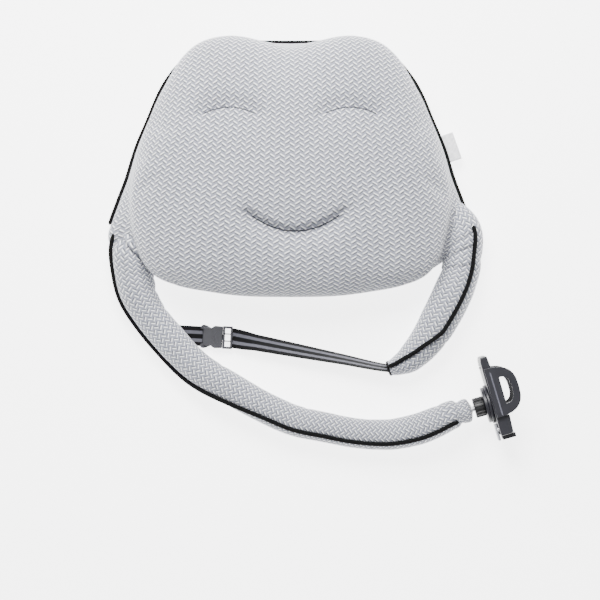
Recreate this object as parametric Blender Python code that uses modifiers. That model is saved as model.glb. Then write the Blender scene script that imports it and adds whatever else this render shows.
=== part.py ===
"""Lumbar support cushion with two padded arms, a buckled waist strap and a gooseneck phone holder.

Metres, +Z up. The cushion lies on its back: the origin is the middle of its flat back face, +Z points
out of the face that meets the person's back, +Y to its top edge and +X to the short arm's side.
"""

import math

import bmesh
import bpy
import numpy as np
from mathutils import Matrix, Vector
from mathutils.bvhtree import BVHTree

# ---------------------------------------------------------------- driving dimensions
GAP = 0.0003                 # between pieces that rest on each other
SOFT_GAP = 0.0007            # between a cover and what fills it

CUSHION_WIDTH = 0.400
CUSHION_HEIGHT = 0.328
CUSHION_THICKNESS = 0.114
BELLY_HEIGHT = 0.054         # level at which the front bulges widest
SEAM_HEIGHT = 0.018          # level of the seam between the front and back covers
COVER_WALL = 0.0015
COLUMNS = 40                 # sections around the cushion

PIPING_RADIUS = 0.0022
PIPING_OUT = 0.0009          # how far its middle stands outside the seam
PIPING_REACH = 0.295         # how far the body's piping runs each way from the top, in turns
STITCH_RADIUS = 0.0009
EYE_SPREAD = 0.075
EYE_LEVEL = 0.069
EYE_HALF_LENGTH = 0.032
EYE_ARCH = 0.008
MOUTH_LEVEL = -0.055
MOUTH_HALF_LENGTH = 0.055
MOUTH_SAG = 0.020

LABEL_LENGTH = 0.035
LABEL_WIDTH = 0.016
LABEL_WALL = 0.0008
LABEL_ANGLE = math.radians(81.6)

ZIP_LEVEL = -0.095
ZIP_LENGTH = 0.244
ZIP_SLOT = 0.010
TAPE_OVERLAP = 0.006
WELT_HEIGHT = 0.0027
TAPE_WALL = 0.0005
TEETH_WIDTH = 0.004
TEETH_HEIGHT = 0.0013
SLIDER_LENGTH = 0.011
SLIDER_WIDTH = 0.0084
PULL_LENGTH = 0.018
PULL_REACH = 0.001           # from the slider's front to the pull's hinge

SLEEVE_WALL = 0.0012
GOOSENECK_RADIUS = 0.007
ANCHOR_AT = 0.058            # distances along the long arm
LIFT_AT = 0.225
SWING_AT = 0.354
TIP_LIFT_AT = 0.462
BEND_HALF = 0.013            # half the length of sleeve that bends at each of those places
ANCHOR_RADIUS = 0.017
ANCHOR_WALL = 0.002
FERRULE_LENGTH = 0.018
FERRULE_RADIUS = GOOSENECK_RADIUS + 0.0008

TIP_ANGLE = math.radians(16)  # the phone holder's axis, turned from +X
HOLDER_LEVEL = 0.0345
BALL_RADIUS = 0.007
LINER_WALL = 0.001
SOCKET_RADIUS = 0.0104
FLANGE_RADIUS = 0.0225
NUT_RADIUS = 0.0125
NUT_HALF = 0.0065
DISC_RADIUS = 0.0245
DISC_FRONT = 0.0144
SLAB_BACK = 0.0147
SLAB_SPLIT = 0.0200
SLAB_FRONT = 0.0260
SLAB_TOP = -0.060
SLAB_BOTTOM = 0.041
SLAB_HALF = 0.029
SHELL_WALL = 0.002
JAW_WALL = 0.0048
JAW_TOP = -0.045
JAW_BOTTOM = 0.0175
JAW_REACH = 0.053
JAW_RIM = 0.009
PAD_WALL = 0.0014
TONGUE_MIDDLE = -0.012
TONGUE_WIDTH = 0.018
STEM_WIDTH = 0.010
SLIDE_WALL = 0.0028          # thickness of the jaw's tongue and the foot's stem
SPRING_COIL = 0.0024
SPRING_WIRE = 0.0005
SPRING_TURNS = 6
FOOT_WALL = 0.0055
SCREW_SPOTS = ((0.0, -0.048), (0.018, 0.032))  # across and along the holder

WEBBING_WIDTH = 0.025
WEBBING_WALL = 0.0014
CUFF_DEPTH = 0.012           # how far the webbing runs into the short arm's end
BUCKLE_ALONG = 0.1425        # where the short strap leaves the long arm
BUCKLE_REACH = 0.178 * CUSHION_WIDTH  # from the long arm's middle line to the buckle's mouth
BUCKLE_ANGLE = math.radians(-3)
BUCKLE_WIDTH = 0.030
BUCKLE_HEIGHT = 0.010
BUCKLE_LEVEL = 0.006
FEMALE_LENGTH = 0.031
MALE_LENGTH = 0.0125
BUCKLE_WALL = 0.0018
PRONG_REACH = 0.028
STRAP_PITCH = 0.009
# How the long strap turns on edge: share of its free length, degrees from lying flat, level of its middle.
STRAP_TWIST = [(0, 0, BUCKLE_LEVEL), (0.15, 36, 0.0086), (0.4, 47, 0.0104), (0.7, 60, 0.0127), (1, 70, 0.0167)]

# Outlines of the right half, from the top round to the bottom, in halves of the width and the height.
SEAM_OUTLINE = [
    (0, 0.985), (0.225, 0.985), (0.45, 0.97), (0.64, 0.872), (0.76, 0.713), (0.88, 0.409),
    (0.96, 0.177), (1.015, -0.037), (1.07, -0.213), (1.12, -0.378), (1.145, -0.488), (1.11, -0.585),
    (0.98, -0.671), (0.85, -0.768), (0.70, -0.841), (0.4375, -0.902), (0, -0.927),
]
BULGE_OUTLINE = [
    (0, 0.957), (0.155, 0.991), (0.375, 1.040), (0.56, 0.991), (0.675, 0.877), (0.775, 0.677),
    (0.87, 0.421), (0.945, 0.183), (0.9875, -0.046), (1.0, -0.244), (0.98, -0.482), (0.9375, -0.665),
    (0.8625, -0.793), (0.72, -0.869), (0.4375, -0.930), (0, -0.960),
]
# The long arm from inside the cushion's left shoulder: across, up, level of the middle, radius.
LONG_ARM = [
    (0.008, 0.020, 0.0260, 0.0260), (0, 0, 0.0280, 0.0280), (-0.001, -0.025, 0.0255, 0.0255),
    (0.004, -0.055, 0.0235, 0.0235), (0.015, -0.0785, 0.0215, 0.0213), (0.040, -0.111, 0.0210, 0.0208),
    (0.0775, -0.150, 0.0204, 0.0202), (0.120, -0.177, 0.0204, 0.0202),
    (0.158, -0.1985, 0.0198, 0.0196), (0.199, -0.217, 0.0197, 0.0195),
    (0.239, -0.226, 0.0193, 0.0190), (0.279, -0.2335, 0.0192, 0.0188),
    (0.320, -0.235, 0.0205, 0.0194), (0.354, -0.2285, 0.0245, 0.0199),
    (0.375, -0.2205, 0.0292, 0.0194),
]
HOLDER_FROM_SHOULDER = (0.432, -0.200)
ARM_DRAWN_FOR = 0.400        # the cushion width that the long arm's points are drawn for
# The gathered end of the long arm, as distances back from the ball and radii.
LONG_ARM_END = [(-0.037, 0.0175), (-0.027, 0.0140), (-0.018, 0.0150), (-0.0112, 0.0134)]
# The short arm from inside the right shoulder: across, up, half width, half height.
SHORT_ARM = [
    (-0.037, 0.046, 0.0210, 0.0210), (0, 0, 0.0250, 0.0250), (0.001, -0.039, 0.0250, 0.0250),
    (-0.0025, -0.063, 0.0245, 0.0245), (-0.0125, -0.089, 0.0248, 0.0248),
    (-0.029, -0.1215, 0.0240, 0.0240), (-0.046, -0.148, 0.0210, 0.0220),
    (-0.065, -0.168, 0.0175, 0.0195), (-0.080, -0.1765, 0.0125, 0.0175),
    (-0.090, -0.180, 0.0090, 0.0165),
]
LEFT_SHOULDER = (-0.975, -0.573)      # in halves of the width and the height
RIGHT_SHOULDER = (1.075, -0.4024)

GREY_KNIT = (0.56, 0.57, 0.61)
BLACK_CORD = (0.012, 0.012, 0.014)
CHARCOAL = (0.035, 0.035, 0.045)
BUCKLE_GREY = (0.10, 0.10, 0.11)
WHITE_FILL = (0.80, 0.80, 0.78)
STEEL = (0.55, 0.55, 0.57)


# ---------------------------------------------------------------- scene, materials and basic solids
def empty_scene():
    for old in list(bpy.data.objects):
        bpy.data.objects.remove(old, do_unlink=True)
    made = []
    for name in ("lumbar_support_cushion", "cutters"):
        group = bpy.data.collections.new(name)
        bpy.context.scene.collection.children.link(group)
        made.append(group)
    return made


PARTS, CUTTERS = empty_scene()


def material(name, colour, roughness, metallic=0.0):
    made = bpy.data.materials.new(name)
    made.use_nodes = True
    shader = made.node_tree.nodes["Principled BSDF"]
    shader.inputs["Base Color"].default_value = (*colour, 1.0)
    shader.inputs["Roughness"].default_value = roughness
    shader.inputs["Metallic"].default_value = metallic
    return made


def piece(name, mesh, look, parent=None):
    """A finished node: look is (colour, roughness) or (colour, roughness, metallic)."""
    obj = bpy.data.objects.new(name, mesh)
    mesh.materials.append(material(name, *look))
    PARTS.objects.link(obj)
    obj.parent = parent
    return obj


def cutter(name, mesh, parent=None):
    obj = bpy.data.objects.new(name, mesh)
    obj.hide_render = True
    obj.display_type = "WIRE"
    CUTTERS.objects.link(obj)
    obj.parent = parent
    return obj


def boolean(obj, tool, operation="DIFFERENCE"):
    change = obj.modifiers.new(tool.name, "BOOLEAN")
    change.operation = operation
    change.object = tool


def thicken(obj, wall):
    shell = obj.modifiers.new("wall", "SOLIDIFY")
    shell.thickness = wall
    shell.offset = -1
    shell.use_even_offset = True


def mesh_from(name, bm):
    bm.normal_update()
    mesh = bpy.data.meshes.new(name)
    bm.to_mesh(mesh)
    bm.free()
    return mesh


def box_mesh(name, low, high):
    low, high = Vector(low), Vector(high)
    bm = bmesh.new()
    bmesh.ops.create_cube(bm, size=1.0)
    bmesh.ops.scale(bm, vec=high - low, verts=bm.verts)
    bmesh.ops.translate(bm, vec=(low + high) / 2, verts=bm.verts)
    return mesh_from(name, bm)


def smooth_round(mesh, sharp_from=40):
    mesh.shade_smooth()
    mesh.set_sharp_from_angle(angle=math.radians(sharp_from))


# ---------------------------------------------------------------- smooth paths and lofts
def smooth_through(places, values, at):
    """A smooth curve through the values at rising places, read at one place."""
    at = min(max(at, places[0]), places[-1])
    i = min(max(int(np.searchsorted(places, at, side="right")) - 1, 0), len(places) - 2)

    def slope(k):
        low, high = max(k - 1, 0), min(k + 1, len(places) - 1)
        return (values[high] - values[low]) / (places[high] - places[low])

    span = places[i + 1] - places[i]
    t = (at - places[i]) / span
    return (
        (2 * t**3 - 3 * t**2 + 1) * values[i]
        + (t**3 - 2 * t**2 + t) * span * slope(i)
        + (-2 * t**3 + 3 * t**2) * values[i + 1]
        + (t**3 - t**2) * span * slope(i + 1)
    )


class Route:
    """A smooth path through (x, y, z, half width, half height), read by the distance along it."""

    def __init__(self, keys, fine=0.002):
        keys = np.array(keys, dtype=float)
        rough = np.r_[0, np.cumsum(np.linalg.norm(np.diff(keys[:, :3], axis=0), axis=1))]
        count = int(rough[-1] / fine) + 2
        self.rows = np.array(
            [smooth_through(rough, keys, at) for at in np.linspace(0, rough[-1], count)]
        )
        steps = np.linalg.norm(np.diff(self.rows[:, :3], axis=0), axis=1)
        self.travelled = np.r_[0, np.cumsum(steps)]
        self.length = float(self.travelled[-1])

    def row(self, distance):
        return np.array([np.interp(distance, self.travelled, c) for c in self.rows.T])

    def point(self, distance):
        return Vector(self.row(distance)[:3])

    def direction(self, distance, reach=0.003):
        ahead = self.row(min(distance + reach, self.length))[:3]
        behind = self.row(max(distance - reach, 0))[:3]
        return Vector(ahead - behind).normalized()

    def station(self, distance):
        """Middle, sideways unit, upward unit, half width and half height of a section."""
        along = self.direction(distance)
        side = along.cross(Vector((0, 0, 1))).normalized()
        wide, high = self.row(distance)[3:]
        return self.point(distance), side, side.cross(along), wide, high


def spread(start, end, pitch):
    return [float(s) for s in np.linspace(start, end, max(2, math.ceil((end - start) / pitch) + 1))]


def loft_mesh(name, rings, closed_ends=True):
    """Quads between rings of points that all have as many points, running round the same way."""
    bm = bmesh.new()
    rows = [[bm.verts.new(p) for p in ring] for ring in rings]
    for one, two in zip(rows, rows[1:]):
        for i, start in enumerate(one):
            k = (i + 1) % len(one)
            bm.faces.new((start, one[k], two[k], two[i]))
    if closed_ends:
        bm.faces.new(rows[0][::-1])
        bm.faces.new(rows[-1])
    bmesh.ops.recalc_face_normals(bm, faces=bm.faces)
    mesh = mesh_from(name, bm)
    smooth_round(mesh)
    return mesh


def arm_rings(route, distances, shrink=0.0, sides=16):
    rings = []
    for s in distances:
        middle, side, up, wide, high = route.station(s)
        turns = [2 * math.pi * (i + 0.5) / sides for i in range(sides)]
        rings.append([
            middle + side * (wide - shrink) * math.cos(a) + up * (high - shrink) * math.sin(a)
            for a in turns
        ])
    return rings


def round_rod(name, points, radius, resolution=2, radii=None):
    """A tube with filled caps along points, as a welded mesh."""
    curve = bpy.data.curves.new(name, "CURVE")
    curve.dimensions = "3D"
    curve.bevel_depth = radius
    curve.bevel_resolution = resolution
    curve.use_fill_caps = True
    line = curve.splines.new("POLY")
    line.points.add(len(points) - 1)
    for k, (slot, p) in enumerate(zip(line.points, points)):
        slot.co = (*p, 1.0)
        slot.radius = radii[k] if radii else 1.0
    return welded(name, curve)


def welded(name, curve, place=None):
    """The mesh of a curve, its caps joined to its sides."""
    guide = bpy.data.objects.new(name + "_curve", curve)
    bpy.context.scene.collection.objects.link(guide)
    bpy.context.view_layer.update()
    graph = bpy.context.evaluated_depsgraph_get()
    mesh = bpy.data.meshes.new_from_object(guide.evaluated_get(graph))
    bpy.data.objects.remove(guide)
    bm = bmesh.new()
    bm.from_mesh(mesh)
    bmesh.ops.remove_doubles(bm, verts=bm.verts, dist=1e-6)
    if place is not None:
        bmesh.ops.transform(bm, matrix=place, verts=bm.verts)
    bmesh.ops.recalc_face_normals(bm, faces=bm.faces)
    bm.to_mesh(mesh)
    bm.free()
    mesh.name = name
    smooth_round(mesh)
    return mesh


def plate_mesh(name, outlines, thickness, place):
    """A flat plate from closed outlines, the inner ones holes, centred on its own plane."""
    curve = bpy.data.curves.new(name, "CURVE")
    curve.dimensions = "2D"
    curve.fill_mode = "BOTH"
    curve.extrude = thickness / 2
    for outline in outlines:
        line = curve.splines.new("POLY")
        line.points.add(len(outline) - 1)
        for slot, (x, y) in zip(line.points, outline):
            slot.co = (x, y, 0.0, 1.0)
        line.use_cyclic_u = True
    return welded(name, curve, place)


def turned_mesh(name, profile, steps=32):
    """A solid of revolution about Z from a closed profile of (radius, level)."""
    bm = bmesh.new()
    corners = [bm.verts.new((r, 0, z)) for r, z in profile]
    edges = [bm.edges.new(pair) for pair in zip(corners, corners[1:] + corners[:1])]
    bmesh.ops.spin(
        bm, geom=corners + edges, cent=(0, 0, 0), axis=(0, 0, 1),
        angle=2 * math.pi, steps=steps, use_merge=True,
    )
    bmesh.ops.remove_doubles(bm, verts=bm.verts, dist=1e-6)
    bmesh.ops.dissolve_degenerate(bm, edges=bm.edges, dist=1e-6)
    on_axis = [e for e in bm.edges if not e.link_faces]
    bmesh.ops.delete(bm, geom=on_axis, context="EDGES")
    bmesh.ops.recalc_face_normals(bm, faces=bm.faces)
    mesh = mesh_from(name, bm)
    smooth_round(mesh)
    return mesh


# ---------------------------------------------------------------- cushion
def half_size(share):
    return share[0] * CUSHION_WIDTH / 2, share[1] * CUSHION_HEIGHT / 2


def outline_radius(shares):
    """Distance from the middle to a mirrored outline, as a function of the angle from +Y."""
    points = [half_size(s) for s in shares]
    keys = [(math.atan2(x, y), math.hypot(x, y)) for x, y in points]
    full = 2 * math.pi
    wrapped = [(-a, r) for a, r in keys[2:0:-1]] + keys + [(full - a, r) for a, r in keys[-2:-4:-1]]
    places = np.array([a for a, _ in wrapped])
    values = np.array([r for _, r in wrapped])

    def radius(angle):
        return float(smooth_through(places, values, abs(math.remainder(angle, full))))

    return radius


seam_radius = outline_radius(SEAM_OUTLINE)
bulge_radius = outline_radius(BULGE_OUTLINE)
SEAM_SLIT = PIPING_RADIUS + 3 * GAP


def crown_rows(count=5, fullness=2.6):
    """Sections from the belly to just short of the crown, along a superellipse."""
    rise = CUSHION_THICKNESS - BELLY_HEIGHT
    rows = []
    for k in range(1, count + 1):
        turn = math.pi / 2 * k / (count + 0.6)
        size = math.cos(turn) ** (2 / fullness)
        rows.append((1.0, size, BELLY_HEIGHT + rise * math.sin(turn) ** (2 / fullness)))
    return rows


# Sections as (share of the bulge's outline in the mix, size, level), from the back to the crown.
BACK_ROWS = [(0, 0.940, 0.0), (0, 0.970, 0.0025), (0, 0.990, 0.009), (0, 1.0, SEAM_HEIGHT - SEAM_SLIT)]
FRONT_ROWS = [
    (0, 1.0, SEAM_HEIGHT + SEAM_SLIT), (0.35, 1.0, 0.027), (0.8, 1.0, 0.040), (1.0, 1.0, BELLY_HEIGHT),
    *crown_rows(),
]


def body_ring(row):
    mix, size, level = row
    ring = []
    for i in range(COLUMNS):
        angle = 2 * math.pi * i / COLUMNS
        r = size * ((1 - mix) * seam_radius(angle) + mix * bulge_radius(angle))
        ring.append(Vector((r * math.sin(angle), r * math.cos(angle), level)))
    return ring


def body_form(rows):
    """The closed cushion form as triangles that are split the same way in every piece made from it."""
    bm = bmesh.new()
    bm.from_mesh(loft_mesh("form", [body_ring(r) for r in rows]))
    bmesh.ops.triangulate(bm, faces=[f for f in bm.faces if len(f.verts) == 4], quad_method="FIXED")
    bm.normal_update()
    return bm


def body_solid(name, rows, inward):
    """The closed cushion form, its surface moved inward along its normals."""
    bm = body_form(rows)
    moves = [(v, v.normal.copy()) for v in bm.verts]
    for v, normal in moves:
        v.co -= normal * inward
    return mesh_from(name, bm)


def open_shell(name, rows, cap_first):
    """Rings joined to a surface with one end closed by a flat cap."""
    bm = body_form(rows)
    caps = sorted((f for f in bm.faces if len(f.verts) == COLUMNS), key=lambda f: f.calc_center_median().z)
    bmesh.ops.delete(bm, geom=[caps[-1] if cap_first else caps[0]], context="FACES_ONLY")
    mesh = mesh_from(name, bm)
    smooth_round(mesh)
    return mesh


def build_covers():
    front = piece("front_cover", open_shell("front_cover", FRONT_ROWS, False), (GREY_KNIT, 0.9))
    thicken(front, COVER_WALL)
    back = piece("back_cover", open_shell("back_cover", BACK_ROWS, True), ((0.50, 0.51, 0.54), 0.9))
    thicken(back, COVER_WALL)
    half = ZIP_LENGTH / 2
    slot = box_mesh("zip_slot", (-half, ZIP_LEVEL - ZIP_SLOT / 2, -0.002),
                    (half, ZIP_LEVEL + ZIP_SLOT / 2, 0.004))
    boolean(back, cutter("zip_slot", slot))
    return front


def build_core():
    mesh = body_solid("foam_core", BACK_ROWS + FRONT_ROWS, COVER_WALL + 2.2 * SOFT_GAP)
    core = piece("foam_core", mesh, (WHITE_FILL, 0.95))
    clear = ZIP_LENGTH / 2 + TAPE_OVERLAP + SOFT_GAP
    wide = ZIP_SLOT / 2 + TAPE_OVERLAP + SOFT_GAP
    top = COVER_WALL + GAP + WELT_HEIGHT + GAP + TAPE_WALL + SOFT_GAP
    groove = box_mesh("zip_groove", (-clear, ZIP_LEVEL - wide, -0.002), (clear, ZIP_LEVEL + wide, top))
    boolean(core, cutter("zip_groove", groove))
    bed = round_rod("piping_bed", piping_points(1), PIPING_RADIUS + 2 * SOFT_GAP, 1)
    boolean(core, cutter("piping_bed", bed))


def seam_point(angle, outward=0.0, level=SEAM_HEIGHT):
    r = seam_radius(angle) + outward
    return Vector((r * math.sin(angle), r * math.cos(angle), level))


def piping_points(beyond=0):
    reach = round(COLUMNS * PIPING_REACH) + beyond
    return [seam_point(2 * math.pi * i / COLUMNS, PIPING_OUT) for i in range(-reach, reach + 1)]


def build_body_piping():
    mesh = round_rod("body_piping", piping_points(), PIPING_RADIUS, 1)
    return piece("body_piping", mesh, (BLACK_CORD, 0.8))


def build_label():
    ahead, behind = seam_point(LABEL_ANGLE + 0.02), seam_point(LABEL_ANGLE - 0.02)
    along = (behind - ahead).normalized()
    out = Vector((along.y, -along.x, 0))
    holder = bpy.data.objects.new("label_place", None)
    PARTS.objects.link(holder)
    holder.matrix_world = Matrix.Translation(seam_point(LABEL_ANGLE)) @ Matrix(
        (out, along, Vector((0, 0, 1)))).transposed().to_4x4()
    start = PIPING_RADIUS + PIPING_OUT + 2 * GAP
    mesh = box_mesh("side_label", (start, -LABEL_LENGTH / 2, -LABEL_WALL / 2),
                    (start + LABEL_WIDTH, LABEL_LENGTH / 2, LABEL_WALL / 2))
    piece("side_label", mesh, ((0.85, 0.85, 0.85), 0.8), holder)


def build_stitches(front):
    """Quilting threads that lie on the front cover, an eye on each side and a mouth."""
    bpy.context.view_layer.update()
    graph = bpy.context.evaluated_depsgraph_get()
    surface = BVHTree.FromObject(front, graph)
    lines = {
        "left_eye_stitch": (-EYE_SPREAD, EYE_LEVEL, EYE_HALF_LENGTH, EYE_ARCH),
        "right_eye_stitch": (EYE_SPREAD, EYE_LEVEL, EYE_HALF_LENGTH, EYE_ARCH),
        "mouth_stitch": (0.0065, MOUTH_LEVEL, MOUTH_HALF_LENGTH, -MOUTH_SAG),
    }
    for name, (across, up, half, arch) in lines.items():
        points = []
        for k in range(21):
            t = k / 10 - 1
            x, y = across + half * t, up + arch * (1 - t * t)
            hit = surface.ray_cast(Vector((x, y, 2 * CUSHION_THICKNESS)), Vector((0, 0, -1)))[0]
            points.append(hit + Vector((0, 0, STITCH_RADIUS + 1.3 * GAP)))
        piece(name, round_rod(name, points, STITCH_RADIUS, 1), ((0.08, 0.08, 0.09), 0.8))


# ---------------------------------------------------------------- zip in the back cover
def build_zip():
    half, slot = ZIP_LENGTH / 2, ZIP_SLOT / 2
    outer_x, outer_y = half + TAPE_OVERLAP, slot + TAPE_OVERLAP
    low = COVER_WALL + GAP
    tape_low = low + WELT_HEIGHT + GAP
    welt = piece("zipper_welt", box_mesh("zipper_welt", (-outer_x, ZIP_LEVEL - outer_y, low),
                                         (outer_x, ZIP_LEVEL + outer_y, low + WELT_HEIGHT)),
                 ((0.45, 0.46, 0.49), 0.9))
    hole = box_mesh("welt_hole", (-half, ZIP_LEVEL - slot, 0), (half, ZIP_LEVEL + slot, 0.01))
    boolean(welt, cutter("welt_hole", hole))
    piece("zipper_tape", box_mesh("zipper_tape", (-outer_x, ZIP_LEVEL - outer_y, tape_low),
                                  (outer_x, ZIP_LEVEL + outer_y, tape_low + TAPE_WALL)),
          ((0.4, 0.41, 0.44), 0.9))
    teeth_top = tape_low - GAP
    teeth_low = teeth_top - TEETH_HEIGHT
    teeth = TEETH_WIDTH / 2
    piece("zipper_teeth", box_mesh("zipper_teeth", (-half + 0.001, ZIP_LEVEL - teeth, teeth_low),
                                   (half - 0.001, ZIP_LEVEL + teeth, teeth_top)),
          ((0.3, 0.31, 0.33), 0.5))
    front = -half + 0.004 + SLIDER_LENGTH
    slider = piece("zipper_slider", box_mesh("zipper_slider",
                                             (front - SLIDER_LENGTH, ZIP_LEVEL - SLIDER_WIDTH / 2, 0.0009),
                                             (front, ZIP_LEVEL + SLIDER_WIDTH / 2, teeth_top)),
                   (STEEL, 0.35, 1.0))
    channel = box_mesh("slider_channel", (front - 0.02, ZIP_LEVEL - teeth - 0.0004, teeth_low - 0.0004),
                       (front + 0.01, ZIP_LEVEL + teeth + 0.0004, 0.01))
    boolean(slider, cutter("slider_channel", channel))
    hinge = bpy.data.objects.new("pull_hinge", None)
    PARTS.objects.link(hinge)
    hinge.location = (front + PULL_REACH, ZIP_LEVEL, 0.0014)
    pull = piece("zipper_pull", box_mesh("zipper_pull", (-0.0006, -0.003, -0.0005),
                                         (PULL_LENGTH - 0.0006, 0.003, 0.0005)), (STEEL, 0.35, 1.0), hinge)
    eye = box_mesh("pull_eye", (0.010, -0.0012, -0.002), (0.0145, 0.0012, 0.002))
    boolean(pull, cutter("pull_eye", eye, hinge))


# ---------------------------------------------------------------- padded arms
def arm_routes():
    left, right = half_size(LEFT_SHOULDER), half_size(RIGHT_SHOULDER)
    wider = CUSHION_WIDTH / ARM_DRAWN_FOR
    long_keys = [(left[0] + x * wider, left[1] + y, z, r, r) for x, y, z, r in LONG_ARM]
    ball = Vector((left[0] + HOLDER_FROM_SHOULDER[0] * wider, left[1] + HOLDER_FROM_SHOULDER[1], HOLDER_LEVEL))
    axis = Vector((math.cos(TIP_ANGLE), math.sin(TIP_ANGLE), 0))
    long_keys += [(*(ball + axis * back), r, r) for back, r in LONG_ARM_END]
    short_keys = [(right[0] + x, right[1] + y, high + 0.0002, wide, high) for x, y, wide, high in SHORT_ARM]
    return Route(long_keys), Route(short_keys), ball


LONG, SHORT, BALL = arm_routes()
BENDS = [LIFT_AT, SWING_AT, TIP_LIFT_AT]


def hollow_sleeve(name, route, stations):
    sleeve = piece(name, loft_mesh(name, arm_rings(route, stations), closed_ends=False), (GREY_KNIT, 0.9))
    thicken(sleeve, SLEEVE_WALL)
    return sleeve


def wadding(name, route, stations):
    shrink = SLEEVE_WALL + SOFT_GAP
    return piece(name, loft_mesh(name, arm_rings(route, stations, shrink)), (WHITE_FILL, 0.95))


def edge_piping(name, route, stations, tilt, outward):
    """Piping along an arm's outer side; tilt(distance) raises it round the section."""
    points = []
    for s in stations:
        middle, side, up, wide, high = route.station(s)
        turn = tilt(s)
        clear = PIPING_RADIUS + GAP
        points.append(middle + side * outward * (wide + clear) * math.cos(turn)
                      + up * (high + clear) * math.sin(turn))
    return piece(name, round_rod(name, points, PIPING_RADIUS, 1), (BLACK_CORD, 0.8))


def long_piping_tilt(distance):
    """Level with the middle at the shoulder, most of the way up at the tip."""
    share = min(max((distance - 0.16) / 0.16, 0), 1)
    return math.radians(58) * share * share * (3 - 2 * share)


def short_piping_tilt(distance):
    share = min(max((distance - 0.05) / 0.10, 0), 1)
    return math.radians(30 + 30 * share)


def build_long_arm(shoulder_cut):
    starts = [0.0] + [b + BEND_HALF for b in BENDS]
    ends = [b - BEND_HALF for b in BENDS] + [LONG.length]
    bore_end = LONG.length - FERRULE_LENGTH - 3 * GAP
    for k, (start, end) in enumerate(zip(starts, ends), 1):
        pitch = 0.0085 if k == 4 else 0.022
        stations = spread(start, end, pitch)
        sleeve = hollow_sleeve(f"long_arm_sleeve_{k}", LONG, stations)
        fill_stations = spread(start + (0 if k == 1 else GAP), end - GAP, pitch)
        filling = wadding(f"long_arm_filling_{k}", LONG, fill_stations)
        bore_from = ANCHOR_AT if k == 1 else start - 0.005
        bore_to = end + 0.005 if k < 4 else LONG.length
        bore = [LONG.point(s) for s in spread(bore_from, bore_to, 0.012)]
        if k == 4:
            bore.append(LONG.point(LONG.length) + LONG.direction(LONG.length) * 0.01)
        clear = FERRULE_RADIUS + 1.5 * SOFT_GAP if k == 4 else GOOSENECK_RADIUS + 1.2 * SOFT_GAP
        hole = cutter(f"bore_{k}", round_rod(f"bore_{k}", bore, clear))
        boolean(filling, hole)
        if k == 1:
            boolean(sleeve, shoulder_cut)
            boolean(filling, shoulder_cut)
            build_anchor(filling)
        build_gooseneck(k, start, bore_end if k == 4 else None)
        pipe_from = 0.046 if k == 1 else start
        pipe_to = LONG.length - 0.034 if k == 4 else end
        edge_piping(f"long_arm_piping_{k}", LONG, spread(pipe_from, pipe_to, 0.010 if k == 4 else 0.012),
                    long_piping_tilt, 1)
    for k, bend in enumerate(BENDS, 1):
        build_bend(k, bend)


def disc_place(distance):
    """A matrix with Z along the long arm at a distance."""
    return Matrix.Translation(LONG.point(distance)) @ (
        LONG.direction(distance).to_track_quat("Z", "Y").to_matrix().to_4x4())


def disc_mesh(name, radius, low, high, place):
    bm = bmesh.new()
    bmesh.ops.create_cone(bm, cap_ends=True, segments=24, radius1=radius, radius2=radius, depth=high - low)
    bmesh.ops.translate(bm, vec=(0, 0, (low + high) / 2), verts=bm.verts)
    bmesh.ops.transform(bm, matrix=place, verts=bm.verts)
    return mesh_from(name, bm)


def build_anchor(filling):
    """The plate that holds the gooseneck's root inside the arm's wadding."""
    place = disc_place(ANCHOR_AT)
    piece("gooseneck_anchor", disc_mesh("gooseneck_anchor", ANCHOR_RADIUS, -ANCHOR_WALL, 0, place),
          (STEEL, 0.4, 1.0))
    pocket = disc_mesh("anchor_pocket", ANCHOR_RADIUS + SOFT_GAP, -ANCHOR_WALL - SOFT_GAP, SOFT_GAP, place)
    boolean(filling, cutter("anchor_pocket", pocket))


def build_gooseneck(k, start, last_end):
    """A stretch of gooseneck; all but the last end in a ball at the next bend's pivot."""
    r = GOOSENECK_RADIUS
    first = ANCHOR_AT + 2 * GAP if k == 1 else BENDS[k - 2] + r + 2 * GAP
    if last_end is None:
        pivot = BENDS[k - 1]
        stations = spread(first, pivot, 0.014)
        rounds = [math.radians(a) for a in (30, 55, 75)]
        points = [LONG.point(s) for s in stations]
        radii = [1.0] * len(stations)
        for a in rounds:
            points.append(LONG.point(pivot) + LONG.direction(pivot) * r * math.sin(a))
            radii.append(math.cos(a))
    else:
        stations = spread(first, last_end, 0.012)
        points, radii = [LONG.point(s) for s in stations], [1.0] * len(stations)
    name = f"gooseneck_{k}"
    piece(name, round_rod(name, points, r, 1, radii), (STEEL, 0.45, 1.0))


def build_bend(k, bend):
    """The stretch of padded sleeve that folds and stretches round a gooseneck pivot."""
    stations = spread(bend - BEND_HALF + GAP, bend + BEND_HALF - GAP, 0.013)
    name = f"long_arm_bend_{k}"
    ring = piece(name, loft_mesh(name, arm_rings(LONG, stations, 0.0002)), (GREY_KNIT, 0.9))
    bore = [LONG.point(s) for s in spread(bend - BEND_HALF - 0.004, bend + BEND_HALF + 0.004, 0.012)]
    hole = round_rod(f"bend_bore_{k}", bore, GOOSENECK_RADIUS + SOFT_GAP)
    boolean(ring, cutter(f"bend_bore_{k}", hole))


def build_short_arm(shoulder_cut):
    stations = spread(0, SHORT.length - CUFF_DEPTH, 0.022)
    sleeve = hollow_sleeve("short_arm_sleeve", SHORT, stations + [SHORT.length])
    boolean(sleeve, shoulder_cut)
    filling = wadding("short_arm_filling", SHORT, stations)
    boolean(filling, shoulder_cut)
    edge_piping("short_arm_piping", SHORT, spread(0.064, SHORT.length, 0.012), short_piping_tilt, -1)


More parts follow.
